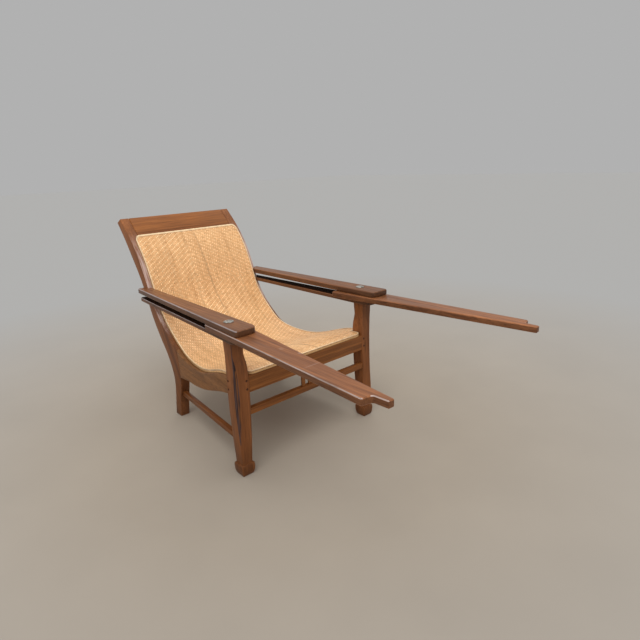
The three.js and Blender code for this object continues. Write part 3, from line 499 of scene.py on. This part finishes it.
def worked_copy(node, name):
    """A merged copy of a node, whose flat faces are whole again, ready to be worked."""
    only(frame["nodes"][node])
    bpy.ops.object.duplicate(linked=False)
    piece = bpy.context.active_object
    for key in list(piece.keys()):
        del piece[key]
    piece.parent = None
    piece.matrix_world = Matrix.Identity(4)
    piece.name = name
    piece.data.name = name
    piece.data.materials.clear()
    only(piece)
    bpy.ops.object.mode_set(mode="EDIT")
    bpy.ops.mesh.select_all(action="SELECT")
    bpy.ops.mesh.remove_doubles(threshold=SAME_POINT)
    bpy.ops.mesh.dissolve_limited(angle_limit=SAME_PLANE)
    bpy.ops.object.mode_set(mode="OBJECT")
    return piece


def soften(piece, width, angle=SAWN_ANGLE):
    """Rounds the sharp edges and shades what is left smoothly."""
    bevel = piece.modifiers.new("softened", "BEVEL")
    bevel.width = width
    bevel.segments = BEVEL_STEPS
    bevel.limit_method = "ANGLE"
    bevel.angle_limit = math.radians(angle)
    bevel.use_clamp_overlap = True
    only(piece)
    bpy.ops.object.modifier_apply(modifier=bevel.name)
    bpy.ops.object.shade_smooth_by_angle(angle=SMOOTH_BELOW)


def drop_flat_faces(piece):
    """Dissolves the faces without area that a bevel leaves where it meets a notch."""
    only(piece)
    bpy.ops.object.mode_set(mode="EDIT")
    bpy.ops.mesh.select_all(action="SELECT")
    bpy.ops.mesh.dissolve_degenerate(threshold=NO_AREA)
    bpy.ops.object.mode_set(mode="OBJECT")


def coordinates(mesh):
    co = np.empty(len(mesh.vertices) * 3, np.float32)
    mesh.vertices.foreach_get("co", co)
    return co.reshape(-1, 3)


def corner_points(mesh):
    """The number of the point at each face corner."""
    loops = np.empty(len(mesh.loops), np.int32)
    mesh.loops.foreach_get("vertex_index", loops)
    return loops


def store(mesh, name, values, kind="FLOAT"):
    layer = mesh.attributes.new(name, kind, "POINT")
    field = "vector" if kind == "FLOAT_VECTOR" else "value"
    layer.data.foreach_set(field, np.ascontiguousarray(values, np.float32).ravel())


def lay_grain(piece, directions, number):
    """Stores each point's place along, across and through the grain. Every piece is cut from its own plank."""
    axes = np.array(directions, float)
    plank = np.array(PLANK_STEP) * (number + 1)
    store(piece.data, "grain", coordinates(piece.data) @ axes.T + plank, "FLOAT_VECTOR")


def lay_stain_and_tint(piece, colour=(1.0, 1.0, 1.0), low=(0.0, 1.0), high=(1.0, 1.0), axis=2):
    """Stores the piece's own stains and tints, from the tone at one place on the axis to the tone at another. On the
    seat rails the tint is a painted reflection.
    """
    place = coordinates(piece.data)[:, axis]
    tone = np.interp(place, *zip(low, high))
    store(piece.data, "stain", tone[:, None] * np.array(colour)[None, :], "FLOAT_VECTOR")
    store(piece.data, "rubbed", np.zeros(len(place)))


def finish_piece(piece, node):
    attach(piece, BODY_OF_NODE[node])
    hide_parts(node)
    return piece


def found_material(name, make, *values, **finish):
    """The material of that name, made where it is first asked for."""
    return bpy.data.materials.get(name) or make(name, *values, **finish)


def frame_wood():
    wood = bpy.context.scene.chair_wood
    return found_material("frame_hardwood", wood_material, wood.frame_light, wood.frame_dark)


def arm_wood():
    wood = bpy.context.scene.chair_wood
    return found_material("arm_hardwood", wood_material, wood.arm_light, wood.arm_dark,
                          rough=(0.34, 0.52), coat=0.08, gloss=0.32, **ARM_GRAIN)


def arm_wood_with(name, share=1.0, marks=()):
    """The arms' wood under another name: darker by a share, as painted shade on the sides, or with scratches."""
    wood = bpy.context.scene.chair_wood
    return found_material(name, wood_material, shaded(wood.arm_light, share), shaded(wood.arm_dark, share),
                          rough=(0.36, 0.54), coat=0.06, gloss=0.30, marks=marks, **ARM_GRAIN)


# Outer edges that are worn pale and also carry a painted highlight of the lacquer
def worn_edge_highlight_wood():
    worn = bpy.context.scene.chair_wood.wear_and_sheen_light
    return found_material("rubbed_edge", wood_material, worn, shaded(worn, 0.55),
                          rough=(0.42, 0.60), coat=0.05, gloss=0.35)


# Dark, rough wood in the slot between the arm board and the shelf: painted shade, where little light reaches
def slot_painted_shade_wood():
    dark = bpy.context.scene.chair_wood.arm_dark
    return found_material("unfinished_slot", wood_material, shaded(dark, 0.34), shaded(dark, 0.15),
                          rough=(0.9, 1.0), coat=0.0, gloss=0.05)


def split_cane():
    return found_material("pale_split_cane", cane_material, bpy.context.scene.chair_mat.edging_colour)


def dark_chamfer():
    wood = bpy.context.scene.chair_wood
    return found_material("stained_chamfer", chamfer_material, wood.frame_light, wood.frame_dark)


def wooden_pieces(nodes, directions, first_plank, slot="frame_wood", wood=frame_wood, stain=None, edge=None):
    made = []
    for plank, node in enumerate(nodes, first_plank):
        piece = worked_copy(node, f"{node}_worked")
        piece.data.materials.append(wood())
        soften(piece, edge or bpy.context.scene.chair_wood.softened_edge)
        lay_grain(piece, directions, plank)
        lay_stain_and_tint(piece, **(stain or {}))
        made.append(finish_piece(piece, node))
    return made


def paint_faces(piece, material, wanted):
    """Gives a material to the faces for which wanted(normal, centre) holds."""
    piece.data.materials.append(material)
    index = len(piece.data.materials) - 1
    for face in piece.data.polygons:
        if wanted(face.normal, face.center):
            face.material_index = index


def outward(piece):
    """1 for a piece on the right, and -1 for one on the left."""
    return 1.0 if "_right" in piece.name else -1.0


class CHAIR_OT_posts(bpy.types.Operator):
    """Work the two posts, each a back stile and a rear leg in one piece"""
    bl_idname = "chair.posts"
    bl_label = "Posts"

    def execute(self, context):
        for post in wooden_pieces(POSTS, GRAIN_BACK, first_plank=1, stain=POST_STAIN):
            self.rub_front(post.data)
        return {"FINISHED"}

    def rub_front(self, mesh):
        """Paints a pale sheen on the front of the stile beside the mat: a painted highlight of the lacquer."""
        front = np.zeros(len(mesh.vertices))
        for face in mesh.polygons:
            if face.normal.y < STILE_FRONT[0] and face.normal.z > STILE_FRONT[1]:
                front[list(face.vertices)] = 1.0
        # The pale laid here is a painted highlight of the lacquer
        rubbed = front * np.interp(coordinates(mesh)[:, 2], *SHEEN_HEIGHTS)
        mesh.attributes["rubbed"].data.foreach_set("value", rubbed.astype(np.float32))


class CHAIR_OT_front_legs(bpy.types.Operator):
    """Work the front legs, with the darkened stopped chamfer on their outer corners"""
    bl_idname = "chair.front_legs"
    bl_label = "Front Legs"

    def execute(self, context):
        low, high = CHAMFER_HEIGHTS
        for leg in wooden_pieces(FRONT_LEGS, GRAIN_UP, first_plank=4, stain=FRONT_LEG_STAIN):
            corner = Vector((outward(leg), -1.0, 0.0)).normalized()
            paint_faces(leg, dark_chamfer(), lambda normal, centre: (
                normal.dot(corner) > CHAMFER_FACING and low < centre.z < high))
        return {"FINISHED"}


class CHAIR_OT_rails(bpy.types.Operator):
    """Work the seat rails, stretchers, crest rail and short uprights"""
    bl_idname = "chair.rails"
    bl_label = "Rails"

    def execute(self, context):
        wooden_pieces(SEAT_RAILS, GRAIN_DEEP, first_plank=7, stain=SEAT_RAIL_REFLECTION_TINT)
        wooden_pieces(SIDE_STRETCHERS, GRAIN_DEEP, first_plank=9, stain=STRETCHER_STAIN)
        wooden_pieces(CROSS_RAILS, GRAIN_ACROSS, first_plank=12, stain=CROSS_RAIL_STAIN)
        wooden_pieces(UPRIGHTS, GRAIN_UP, first_plank=17, stain=UPRIGHT_STAIN)
        return {"FINISHED"}


class CHAIR_OT_arms(bpy.types.Operator):
    """Work the boards of the arms and the leg rests, with painted shade on their sides and in the slots, and outer
    edges worn pale with a painted highlight
    """
    bl_idname = "chair.arms"
    bl_label = "Arms and Leg Rests"

    def execute(self, context):
        held = {"slot": "arm_wood", "wood": arm_wood, "edge": context.scene.chair_wood.handled_edge}
        boards = wooden_pieces(ARM_BOARDS, GRAIN_FLAT, first_plank=21, stain=HELD_END, **held)
        boards += wooden_pieces(LEG_RESTS, GRAIN_FLAT, first_plank=25, stain=LEAF_STAIN, **held)
        for board in boards:
            self.age_board(board)
        return {"FINISHED"}

    def age_board(self, board):
        """Paints shade on a board's sides and on its faces in the slot, and a pale worn edge with a painted
        highlight on its outer upper edge.
        """
        side = outward(board)
        if board.name.startswith("arm_shelf"):
            drop_flat_faces(board)
        paint_faces(board, arm_wood_with("arm_hardwood_sides", SIDES_SHADE_SHARE), lambda normal, centre: (
            abs(normal.z) < STEEP))
        if board.name.startswith("leg_rest_left"):
            paint_faces(board, arm_wood_with("arm_hardwood_marked", marks=LEAF_MARKS), lambda normal, centre: (
                normal.z > LEVEL))
        paint_faces(board, worn_edge_highlight_wood(), lambda normal, centre: (
            STEEP < normal.z < ROUNDED and side * normal.x > LEANING))
        # The faces in the slot get painted shade
        inner = {"arm_board": -1.0, "arm_shelf": 1.0}.get(board.name[:9])
        if inner:
            paint_faces(board, slot_painted_shade_wood(), lambda normal, centre: inner * normal.z > LEVEL)


class CHAIR_OT_pegs(bpy.types.Operator):
    """Finish the pegs and dowels as dark end grain"""
    bl_idname = "chair.pegs"
    bl_label = "Pegs and Dowels"

    def execute(self, context):
        dark = end_grain_material("peg_end_grain", PEG_BROWN)
        for node in PEGS:
            mesh = frame["nodes"][node].data
            mesh.materials.clear()
            mesh.materials.append(dark)
        return {"FINISHED"}


class CHAIR_OT_bolts(bpy.types.Operator):
    """Finish the domed pivot bolts"""
    bl_idname = "chair.bolts"
    bl_label = "Pivot Bolts"

    def execute(self, context):
        steel = steel_material("worn_steel_domed")
        for node in BOLTS:
            piece = worked_copy(node, f"{node}_worked")
            piece.data.materials.append(steel)
            soften(piece, FINE_EDGE, FINE_ANGLE)
            finish_piece(piece, node)
        return {"FINISHED"}


class CHAIR_OT_laths(bpy.types.Operator):
    """Work the bent laths under the mat"""
    bl_idname = "chair.laths"
    bl_label = "Panel Laths"

    def execute(self, context):
        lath = wood_material("lath_wood_plain", LATH_LIGHT, LATH_DARK, rough=(0.5, 0.7), coat=0.0)
        wooden_pieces(SIDE_LATHS, GRAIN_DEEP, first_plank=30, slot="lath_wood", wood=lambda: lath)
        wooden_pieces(CROSS_LATHS, GRAIN_ACROSS, first_plank=33, slot="lath_wood", wood=lambda: lath)
        return {"FINISHED"}


# Woven mat

# The dark groove between the cane edging and the weave
GROOVE_PLACE = 0.0056
GROOVE_WIDTH = 0.0016

SEAM_WIDTH = 0.0040
SEAM_BROWN = (0.20, 0.095, 0.04)

# The seat is worn smooth: places along the mat from its front edge, the share of the twill's painted shade and sheen
# that is left there, and the tones that it wears down to
WORN_SMOOTH = ((0.25, 0.60), (0.40, 1.0))
MEAN_CROWN = 0.62
MEAN_OVER = 0.5

# How far under the solid's faces the middle of the strands lies, and the core that closes the gaps
STRANDS_SUNK = 0.0006
CORE_SUNK = 0.0013

# Faces of the core whose middle is this near to its front or top end are the mat's edges
EDGE_BAND = 0.002

# The core's tones, as seen between the strands: its low crown gives it painted shade
CORE_TONES = (("shade", 0.9), ("crown", 0.4), ("over", 0.5), ("rim", 1.0))

# Points of the weave this near to each other are one, so that no slivers are left at the rim
RIM_MERGE = 0.00004

# Reading the mat's solid: how a face of its upper side leans, at most sideways and at least up and forward, the
# shortest step along its line, how near the points of one row are to each other, and how much their half widths
# differ where the row is an end of the mat with its rounded corners
UPPER_LEANING = (0.2, 0.3)
LINE_STEP = 0.004
SAME_ROW = 0.0002
END_ROW = 0.02

# How dark each seam is, and its places: along the mat from its front edge, and sideways from its middle line
SEAMS = (
    (0.66, ((0.30, 0.050), (0.60, 0.042), (0.766, 0.032), (0.851, 0.026), (0.917, 0.020), (1.14, 0.018))),
    (0.26, ((0.70, -0.060), (1.00, -0.046), (1.14, -0.042))),
    (0.34, ((0.50, -0.140), (0.848, -0.148), (1.14, -0.150))),
    (0.26, ((0.50, 0.215), (0.900, 0.184), (1.014, 0.168), (1.14, 0.164))),
)


def mat_profile():
    """The mat's upper line from front to top, as places in y and z, and its half widths by y, read from the node."""
    mesh = frame["nodes"]["woven_mat"].data
    co = coordinates(mesh)
    upper = set()
    for face in mesh.polygons:
        if abs(face.normal.x) < UPPER_LEANING[0] and face.normal.z - face.normal.y > UPPER_LEANING[1]:
            upper.update((round(float(co[i][1]), 5), round(float(co[i][2]), 5)) for i in face.vertices)
    line = np.array(sorted(upper))
    keep = [0]
    for i in range(1, len(line)):
        if np.hypot(*(line[i] - line[keep[-1]])) > LINE_STEP:
            keep.append(i)
    line = line[keep]
    widths = []
    for y in sorted(set(round(float(v), 4) for v in co[:, 1])):
        row = np.abs(co[np.abs(co[:, 1] - y) < SAME_ROW][:, 0])
        if row.max() - row.min() > END_ROW:
            widths.append((y - SAME_ROW / 2, float(row.min())))
        widths.append((y, float(row.max())))
    return line, np.array(widths)


def count_strands(mesh, layer, places):
    """Makes the UV layer count the strands across and along the seat."""
    layer.name = "strands"
    layer.data.foreach_set("uv", places[corner_points(mesh)].astype(np.float32).ravel())


class CHAIR_OT_mat(bpy.types.Operator):
    """Weave the rattan mat as a twill with concentric diamonds"""
    bl_idname = "chair.mat"
    bl_label = "Woven Mat"

    def execute(self, context):
        settings = context.scene.chair_mat
        line, widths = mat_profile()
        weave = rattan_material("woven_rattan_twill", settings.rattan_light, settings.rattan_dark)
        core = self.weave_core(settings, weave)
        under = self.weave_face("woven_mat_underside", -1, line, widths, settings, weave)
        for piece in (core, under):
            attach(piece, BODY_OF_NODE["woven_mat"])
        upper = self.weave_face("woven_mat_twill", 1, line, widths, settings, weave)
        finish_piece(upper, "woven_mat")
        return {"FINISHED"}

    def weave_face(self, name, facing, line, widths, settings, weave):
        """One face of the mat. It faces up where facing is 1, and down where it is -1."""
        run = np.concatenate([[0.0], np.cumsum(np.hypot(*np.diff(line, axis=0).T))])
        half = float(widths[:, 1].max())
        strands = round(2 * half / settings.strand_width)
        crossings = round(run[-1] / settings.cross_width)
        piece, u, v = self.strand_grid(name, strands, crossings)
        mesh = piece.data
        crown, over = self.twill(u, v, strands, crossings, half, run[-1], settings)
        x = (u / strands - 1.0) * half
        s = v / (2 * crossings) * run[-1]
        limit = np.interp(np.interp(s, run, line[:, 0]), *widths.T)
        inner = limit - np.abs(x)
        beyond = inner < 0
        x = np.clip(x, -limit, limit)
        lift = np.where(beyond, 0.0, 2 * settings.relief * (crown - 0.5)) - STRANDS_SUNK
        if facing < 0:
            lift = -lift - settings.thickness
        self.lay_along(mesh, line, run, x, s, lift)
        kept = np.interp(s, *WORN_SMOOTH)
        store(mesh, "rim", np.maximum(np.minimum(inner, np.minimum(s, run[-1] - s)), 0.0))
        store(mesh, "shade", self.seams(x, s, half / strands))
        store(mesh, "crown", MEAN_CROWN + kept * (crown - MEAN_CROWN))
        store(mesh, "over", MEAN_OVER + kept * (over - MEAN_OVER))
        count_strands(mesh, mesh.uv_layers[0], np.stack([u / 2, v / 2], 1))
        self.trim(piece, beyond, facing)
        mesh.materials.clear()
        mesh.materials.append(weave)
        bpy.ops.object.shade_smooth()
        return piece

    def strand_grid(self, name, strands, crossings):
        """A flat grid with two steps to each strand, and each point's steps across and along it."""
        bpy.ops.object.select_all(action="DESELECT")
        bpy.ops.mesh.primitive_grid_add(x_subdivisions=2 * strands, y_subdivisions=2 * crossings, size=1)
        piece = bpy.context.active_object
        piece.name = name
        flat = coordinates(piece.data)
        u = np.rint((flat[:, 0] + 0.5) * 2 * strands).astype(int)
        v = np.rint((flat[:, 1] + 0.5) * 2 * crossings).astype(int)
        return piece, u, v

    def lay_along(self, mesh, line, run, x, s, lift):
        """Lays the grid on the mat's line: x sideways, s along the line and lift out of it."""
        y, z = (np.interp(s, run, line[:, axis]) for axis in (0, 1))
        slope_y, slope_z = (np.interp(s, run, np.gradient(line[:, axis], run)) for axis in (0, 1))
        length = np.hypot(slope_z, slope_y)
        co = np.stack([x, y - slope_z / length * lift, z + slope_y / length * lift], 1)
        mesh.vertices.foreach_set("co", co.astype(np.float32).ravel())

    def trim(self, piece, beyond, facing):
        """Takes away the faces beyond the rim and merges the points drawn in to it. An underside is turned over."""
        mesh = piece.data
        only(piece)
        bpy.ops.object.mode_set(mode="EDIT")
        bpy.ops.mesh.select_mode(type="FACE")
        bpy.ops.mesh.select_all(action="DESELECT")
        bpy.ops.object.mode_set(mode="OBJECT")
        mesh.polygons.foreach_set("select", beyond[corner_points(mesh)].reshape(-1, 4).all(axis=1))
        bpy.ops.object.mode_set(mode="EDIT")
        bpy.ops.mesh.delete(type="FACE")
        bpy.ops.mesh.select_mode(type="VERT")
        bpy.ops.mesh.select_all(action="SELECT")
        bpy.ops.mesh.remove_doubles(threshold=RIM_MERGE)
        bpy.ops.mesh.dissolve_degenerate(threshold=RIM_MERGE)
        if facing < 0:
            bpy.ops.mesh.select_all(action="SELECT")
            bpy.ops.mesh.flip_normals()
        bpy.ops.object.mode_set(mode="OBJECT")

    def twill(self, u, v, strands, crossings, half, run, settings):
        """How high each point of the grid is, from 0 in a valley to 1 on top, and 1 where the long strand is on top.

        Strands pass over two and under two. The step reverses at the middle, which nests the diamonds.
        """
        middle = round((settings.diamond_sideways + half) / (2 * half) * strands)
        row = round(settings.diamond_up / run * crossings)
        columns, rows = np.arange(-1, strands + 1), np.arange(-1, crossings + 1)
        ring = np.abs(columns[:, None] - middle) + np.abs(rows[None, :] - row)
        long_on_top = ring % 4 < 2
        right, above = np.minimum(u // 2, strands - 1) + 1, np.minimum(v // 2, crossings - 1) + 1
        here, left, below = long_on_top[right, above], long_on_top[u // 2, above], long_on_top[right, v // 2]
        odd_u, odd_v = u % 2 == 1, v % 2 == 1
        crown = np.where(odd_u & odd_v, 1.0, 0.0)
        crown[odd_u & ~odd_v & here & below] = 0.9
        crown[~odd_u & odd_v & ~here & ~left] = 0.9
        return crown, here.astype(float)

    def seams(self, x, s, step):
        """Dark lines along the mat, where strands were laid in side by side. Each keeps to a half strand step."""
        shade = np.ones(len(x))
        for depth, places in SEAMS:
            heights, sideways = zip(*places)
            place = np.rint(np.interp(s, heights, sideways) / step) * step
            shade *= 1 - depth * np.exp(-((x - place) / SEAM_WIDTH) ** 2)
        return shade

    def weave_core(self, settings, weave):
        """The mat's edges, under split cane, and what closes the gaps between the strands of its two faces."""
        piece = worked_copy("woven_mat", "woven_mat_core")
        sunk = piece.modifiers.new("sunk", "DISPLACE")
        sunk.strength = -CORE_SUNK
        sunk.mid_level = 0.0
        only(piece)
        bpy.ops.object.modifier_apply(modifier=sunk.name)
        mesh = piece.data
        co = coordinates(mesh)
        places = co[:, :2] / (settings.strand_width, settings.cross_width)
        count_strands(mesh, mesh.uv_layers.new(name="strands"), places)
        for name, value in CORE_TONES:
            store(mesh, name, np.full(len(co), value))
        mesh.materials.append(weave)
        front, top = co[:, 1].min() + EDGE_BAND, co[:, 1].max() - EDGE_BAND
        paint_faces(piece, split_cane(), lambda normal, centre: (
            abs(normal.x) > MAT_SIDE or centre.y < front or centre.y > top))
        bpy.ops.object.shade_smooth_by_angle(angle=SMOOTH_BELOW)
        return piece


class CHAIR_OT_edging(bpy.types.Operator):
    """Round the split cane that edges the mat"""
    bl_idname = "chair.edging"
    bl_label = "Cane Edging"

    def execute(self, context):
        piece = worked_copy("mat_edging", "mat_edging_rounded")
        piece.data.materials.append(split_cane())
        soften(piece, FINE_EDGE, FINE_ANGLE)
        finish_piece(piece, "mat_edging")
        return {"FINISHED"}


# Stage

FLOOR_SIZE = 60.0

# The floor turns into the backdrop between these distances from the chair, in metres
FLOOR_FADE = (0.7, 3.0)
FAR_FLOOR_SHARE = 0.87

# Soft suns: where each stands from the chair, its power, and its spread in degrees
SUNS = {
    "overhead_soft": ((-0.38, -0.43, 0.82), 1.38, 50),
    "overhead_fill": ((0.35, 0.30, 0.89), 0.42, 60),
}
SUN_COLOUR = (1.0, 0.99, 0.96)
SUN_DISTANCE = 4.0

ROOM_COLOUR = (1.0, 0.99, 0.97)
ROOM_STRENGTH = 0.66

SENSOR_WIDTH = 36.0
CLIP_RANGE = (0.05, 100.0)


def soft_sun(name, direction, power, spread):
    data = bpy.data.lights.new(name, "SUN")
    data.energy = power
    data.angle = math.radians(spread)
    data.color = SUN_COLOUR
    light = bpy.data.objects.new(name, data)
    bpy.context.scene.collection.objects.link(light)
    light.location = Vector(direction) * SUN_DISTANCE
    light.rotation_euler = Vector(direction).to_track_quat("Z", "Y").to_euler()


def studio_world(lit, strength, seen):
    """Even light from all round. The camera, gloss and glass see the plain backdrop's colour instead."""
    world = bpy.data.worlds.new("soft_room")
    world.use_nodes = True
    tree = world.node_tree
    light = tree.nodes["Background"]
    light.inputs["Color"].default_value = (*lit, 1.0)
    light.inputs["Strength"].default_value = strength
    backdrop = add_node(tree, "ShaderNodeBackground")
    backdrop.inputs["Color"].default_value = (*seen, 1.0)
    path = add_node(tree, "ShaderNodeLightPath")
    direct = maths(tree, "MAXIMUM", path.outputs["Is Camera Ray"], path.outputs["Is Glossy Ray"])
    direct = maths(tree, "MAXIMUM", direct, path.outputs["Is Transmission Ray"])
    mix = add_node(tree, "ShaderNodeMixShader")
    tree.links.new(direct, mix.inputs["Fac"])
    tree.links.new(light.outputs["Background"], mix.inputs[1])
    tree.links.new(backdrop.outputs["Background"], mix.inputs[2])
    tree.links.new(mix.outputs["Shader"], tree.nodes["World Output"].inputs["Surface"])
    return world


class CHAIR_OT_stage(bpy.types.Operator):
    """Set the plain floor, the soft lights and the camera"""
    bl_idname = "chair.stage"
    bl_label = "Stage"

    def execute(self, context):
        scene = context.scene
        settings = scene.chair_view
        near, far = settings.floor_colour, settings.backdrop_colour
        scene.view_settings.view_transform = "Standard"
        bpy.ops.object.select_all(action="DESELECT")
        bpy.ops.mesh.primitive_plane_add(size=FLOOR_SIZE)
        floor = context.active_object
        floor.name = "plain_floor"
        floor.data.materials.append(plain_stage_material("plain_floor_finish", near, far))
        scene.world = studio_world(ROOM_COLOUR, ROOM_STRENGTH, far)
        for name, light in SUNS.items():
            soft_sun(name, *light)
        scene.camera = self.place_camera(scene, settings)
        return {"FINISHED"}

    def place_camera(self, scene, settings):
        data = bpy.data.cameras.new("photo_angle")
        data.sensor_width = SENSOR_WIDTH
        data.lens = settings.lens
        data.clip_start, data.clip_end = CLIP_RANGE
        camera = bpy.data.objects.new("photo_angle", data)
        scene.collection.objects.link(camera)
        yaw, pitch, roll = settings.heading, settings.tilt, settings.roll
        ahead = Vector((math.sin(yaw) * math.cos(pitch), math.cos(yaw) * math.cos(pitch), -math.sin(pitch)))
        right = Vector((math.cos(yaw), -math.sin(yaw), 0))
        above = right.cross(ahead)
        turned_right = right * math.cos(roll) + above * math.sin(roll)
        turned_up = above * math.cos(roll) - right * math.sin(roll)
        basis = Matrix((turned_right, turned_up, -ahead)).transposed().to_4x4()
        camera.matrix_world = Matrix.Translation(settings.camera_place) @ basis
        return camera


MAKERS = (
    CHAIR_OT_stage, CHAIR_OT_posts, CHAIR_OT_front_legs, CHAIR_OT_rails, CHAIR_OT_arms,
    CHAIR_OT_pegs, CHAIR_OT_bolts, CHAIR_OT_laths, CHAIR_OT_edging, CHAIR_OT_mat,
)


class CHAIR_PT_panel(bpy.types.Panel):
    """Lists the chair's pieces in the order in which they are made"""
    bl_idname = "CHAIR_PT_panel"
    bl_label = "Planters Chair"
    bl_space_type = "VIEW_3D"
    bl_region_type = "UI"
    bl_category = "Planters Chair"

    def draw(self, context):
        for maker in MAKERS:
            self.layout.operator(maker.bl_idname)


SETTINGS = (WoodSettings, MatSettings, ViewSettings)


def register():
    for cls in (*SETTINGS, *MAKERS, CHAIR_PT_panel):
        bpy.utils.register_class(cls)
    bpy.types.Scene.chair_wood = bpy.props.PointerProperty(type=WoodSettings)
    bpy.types.Scene.chair_mat = bpy.props.PointerProperty(type=MatSettings)
    bpy.types.Scene.chair_view = bpy.props.PointerProperty(type=ViewSettings)


def unregister():
    del bpy.types.Scene.chair_view
    del bpy.types.Scene.chair_mat
    del bpy.types.Scene.chair_wood
    for cls in reversed((*SETTINGS, *MAKERS, CHAIR_PT_panel)):
        bpy.utils.unregister_class(cls)


def main():
    register()
    for maker in MAKERS:
        group, name = maker.bl_idname.split(".")
        getattr(getattr(bpy.ops, group), name)()


if __name__ == "__main__":
    main()
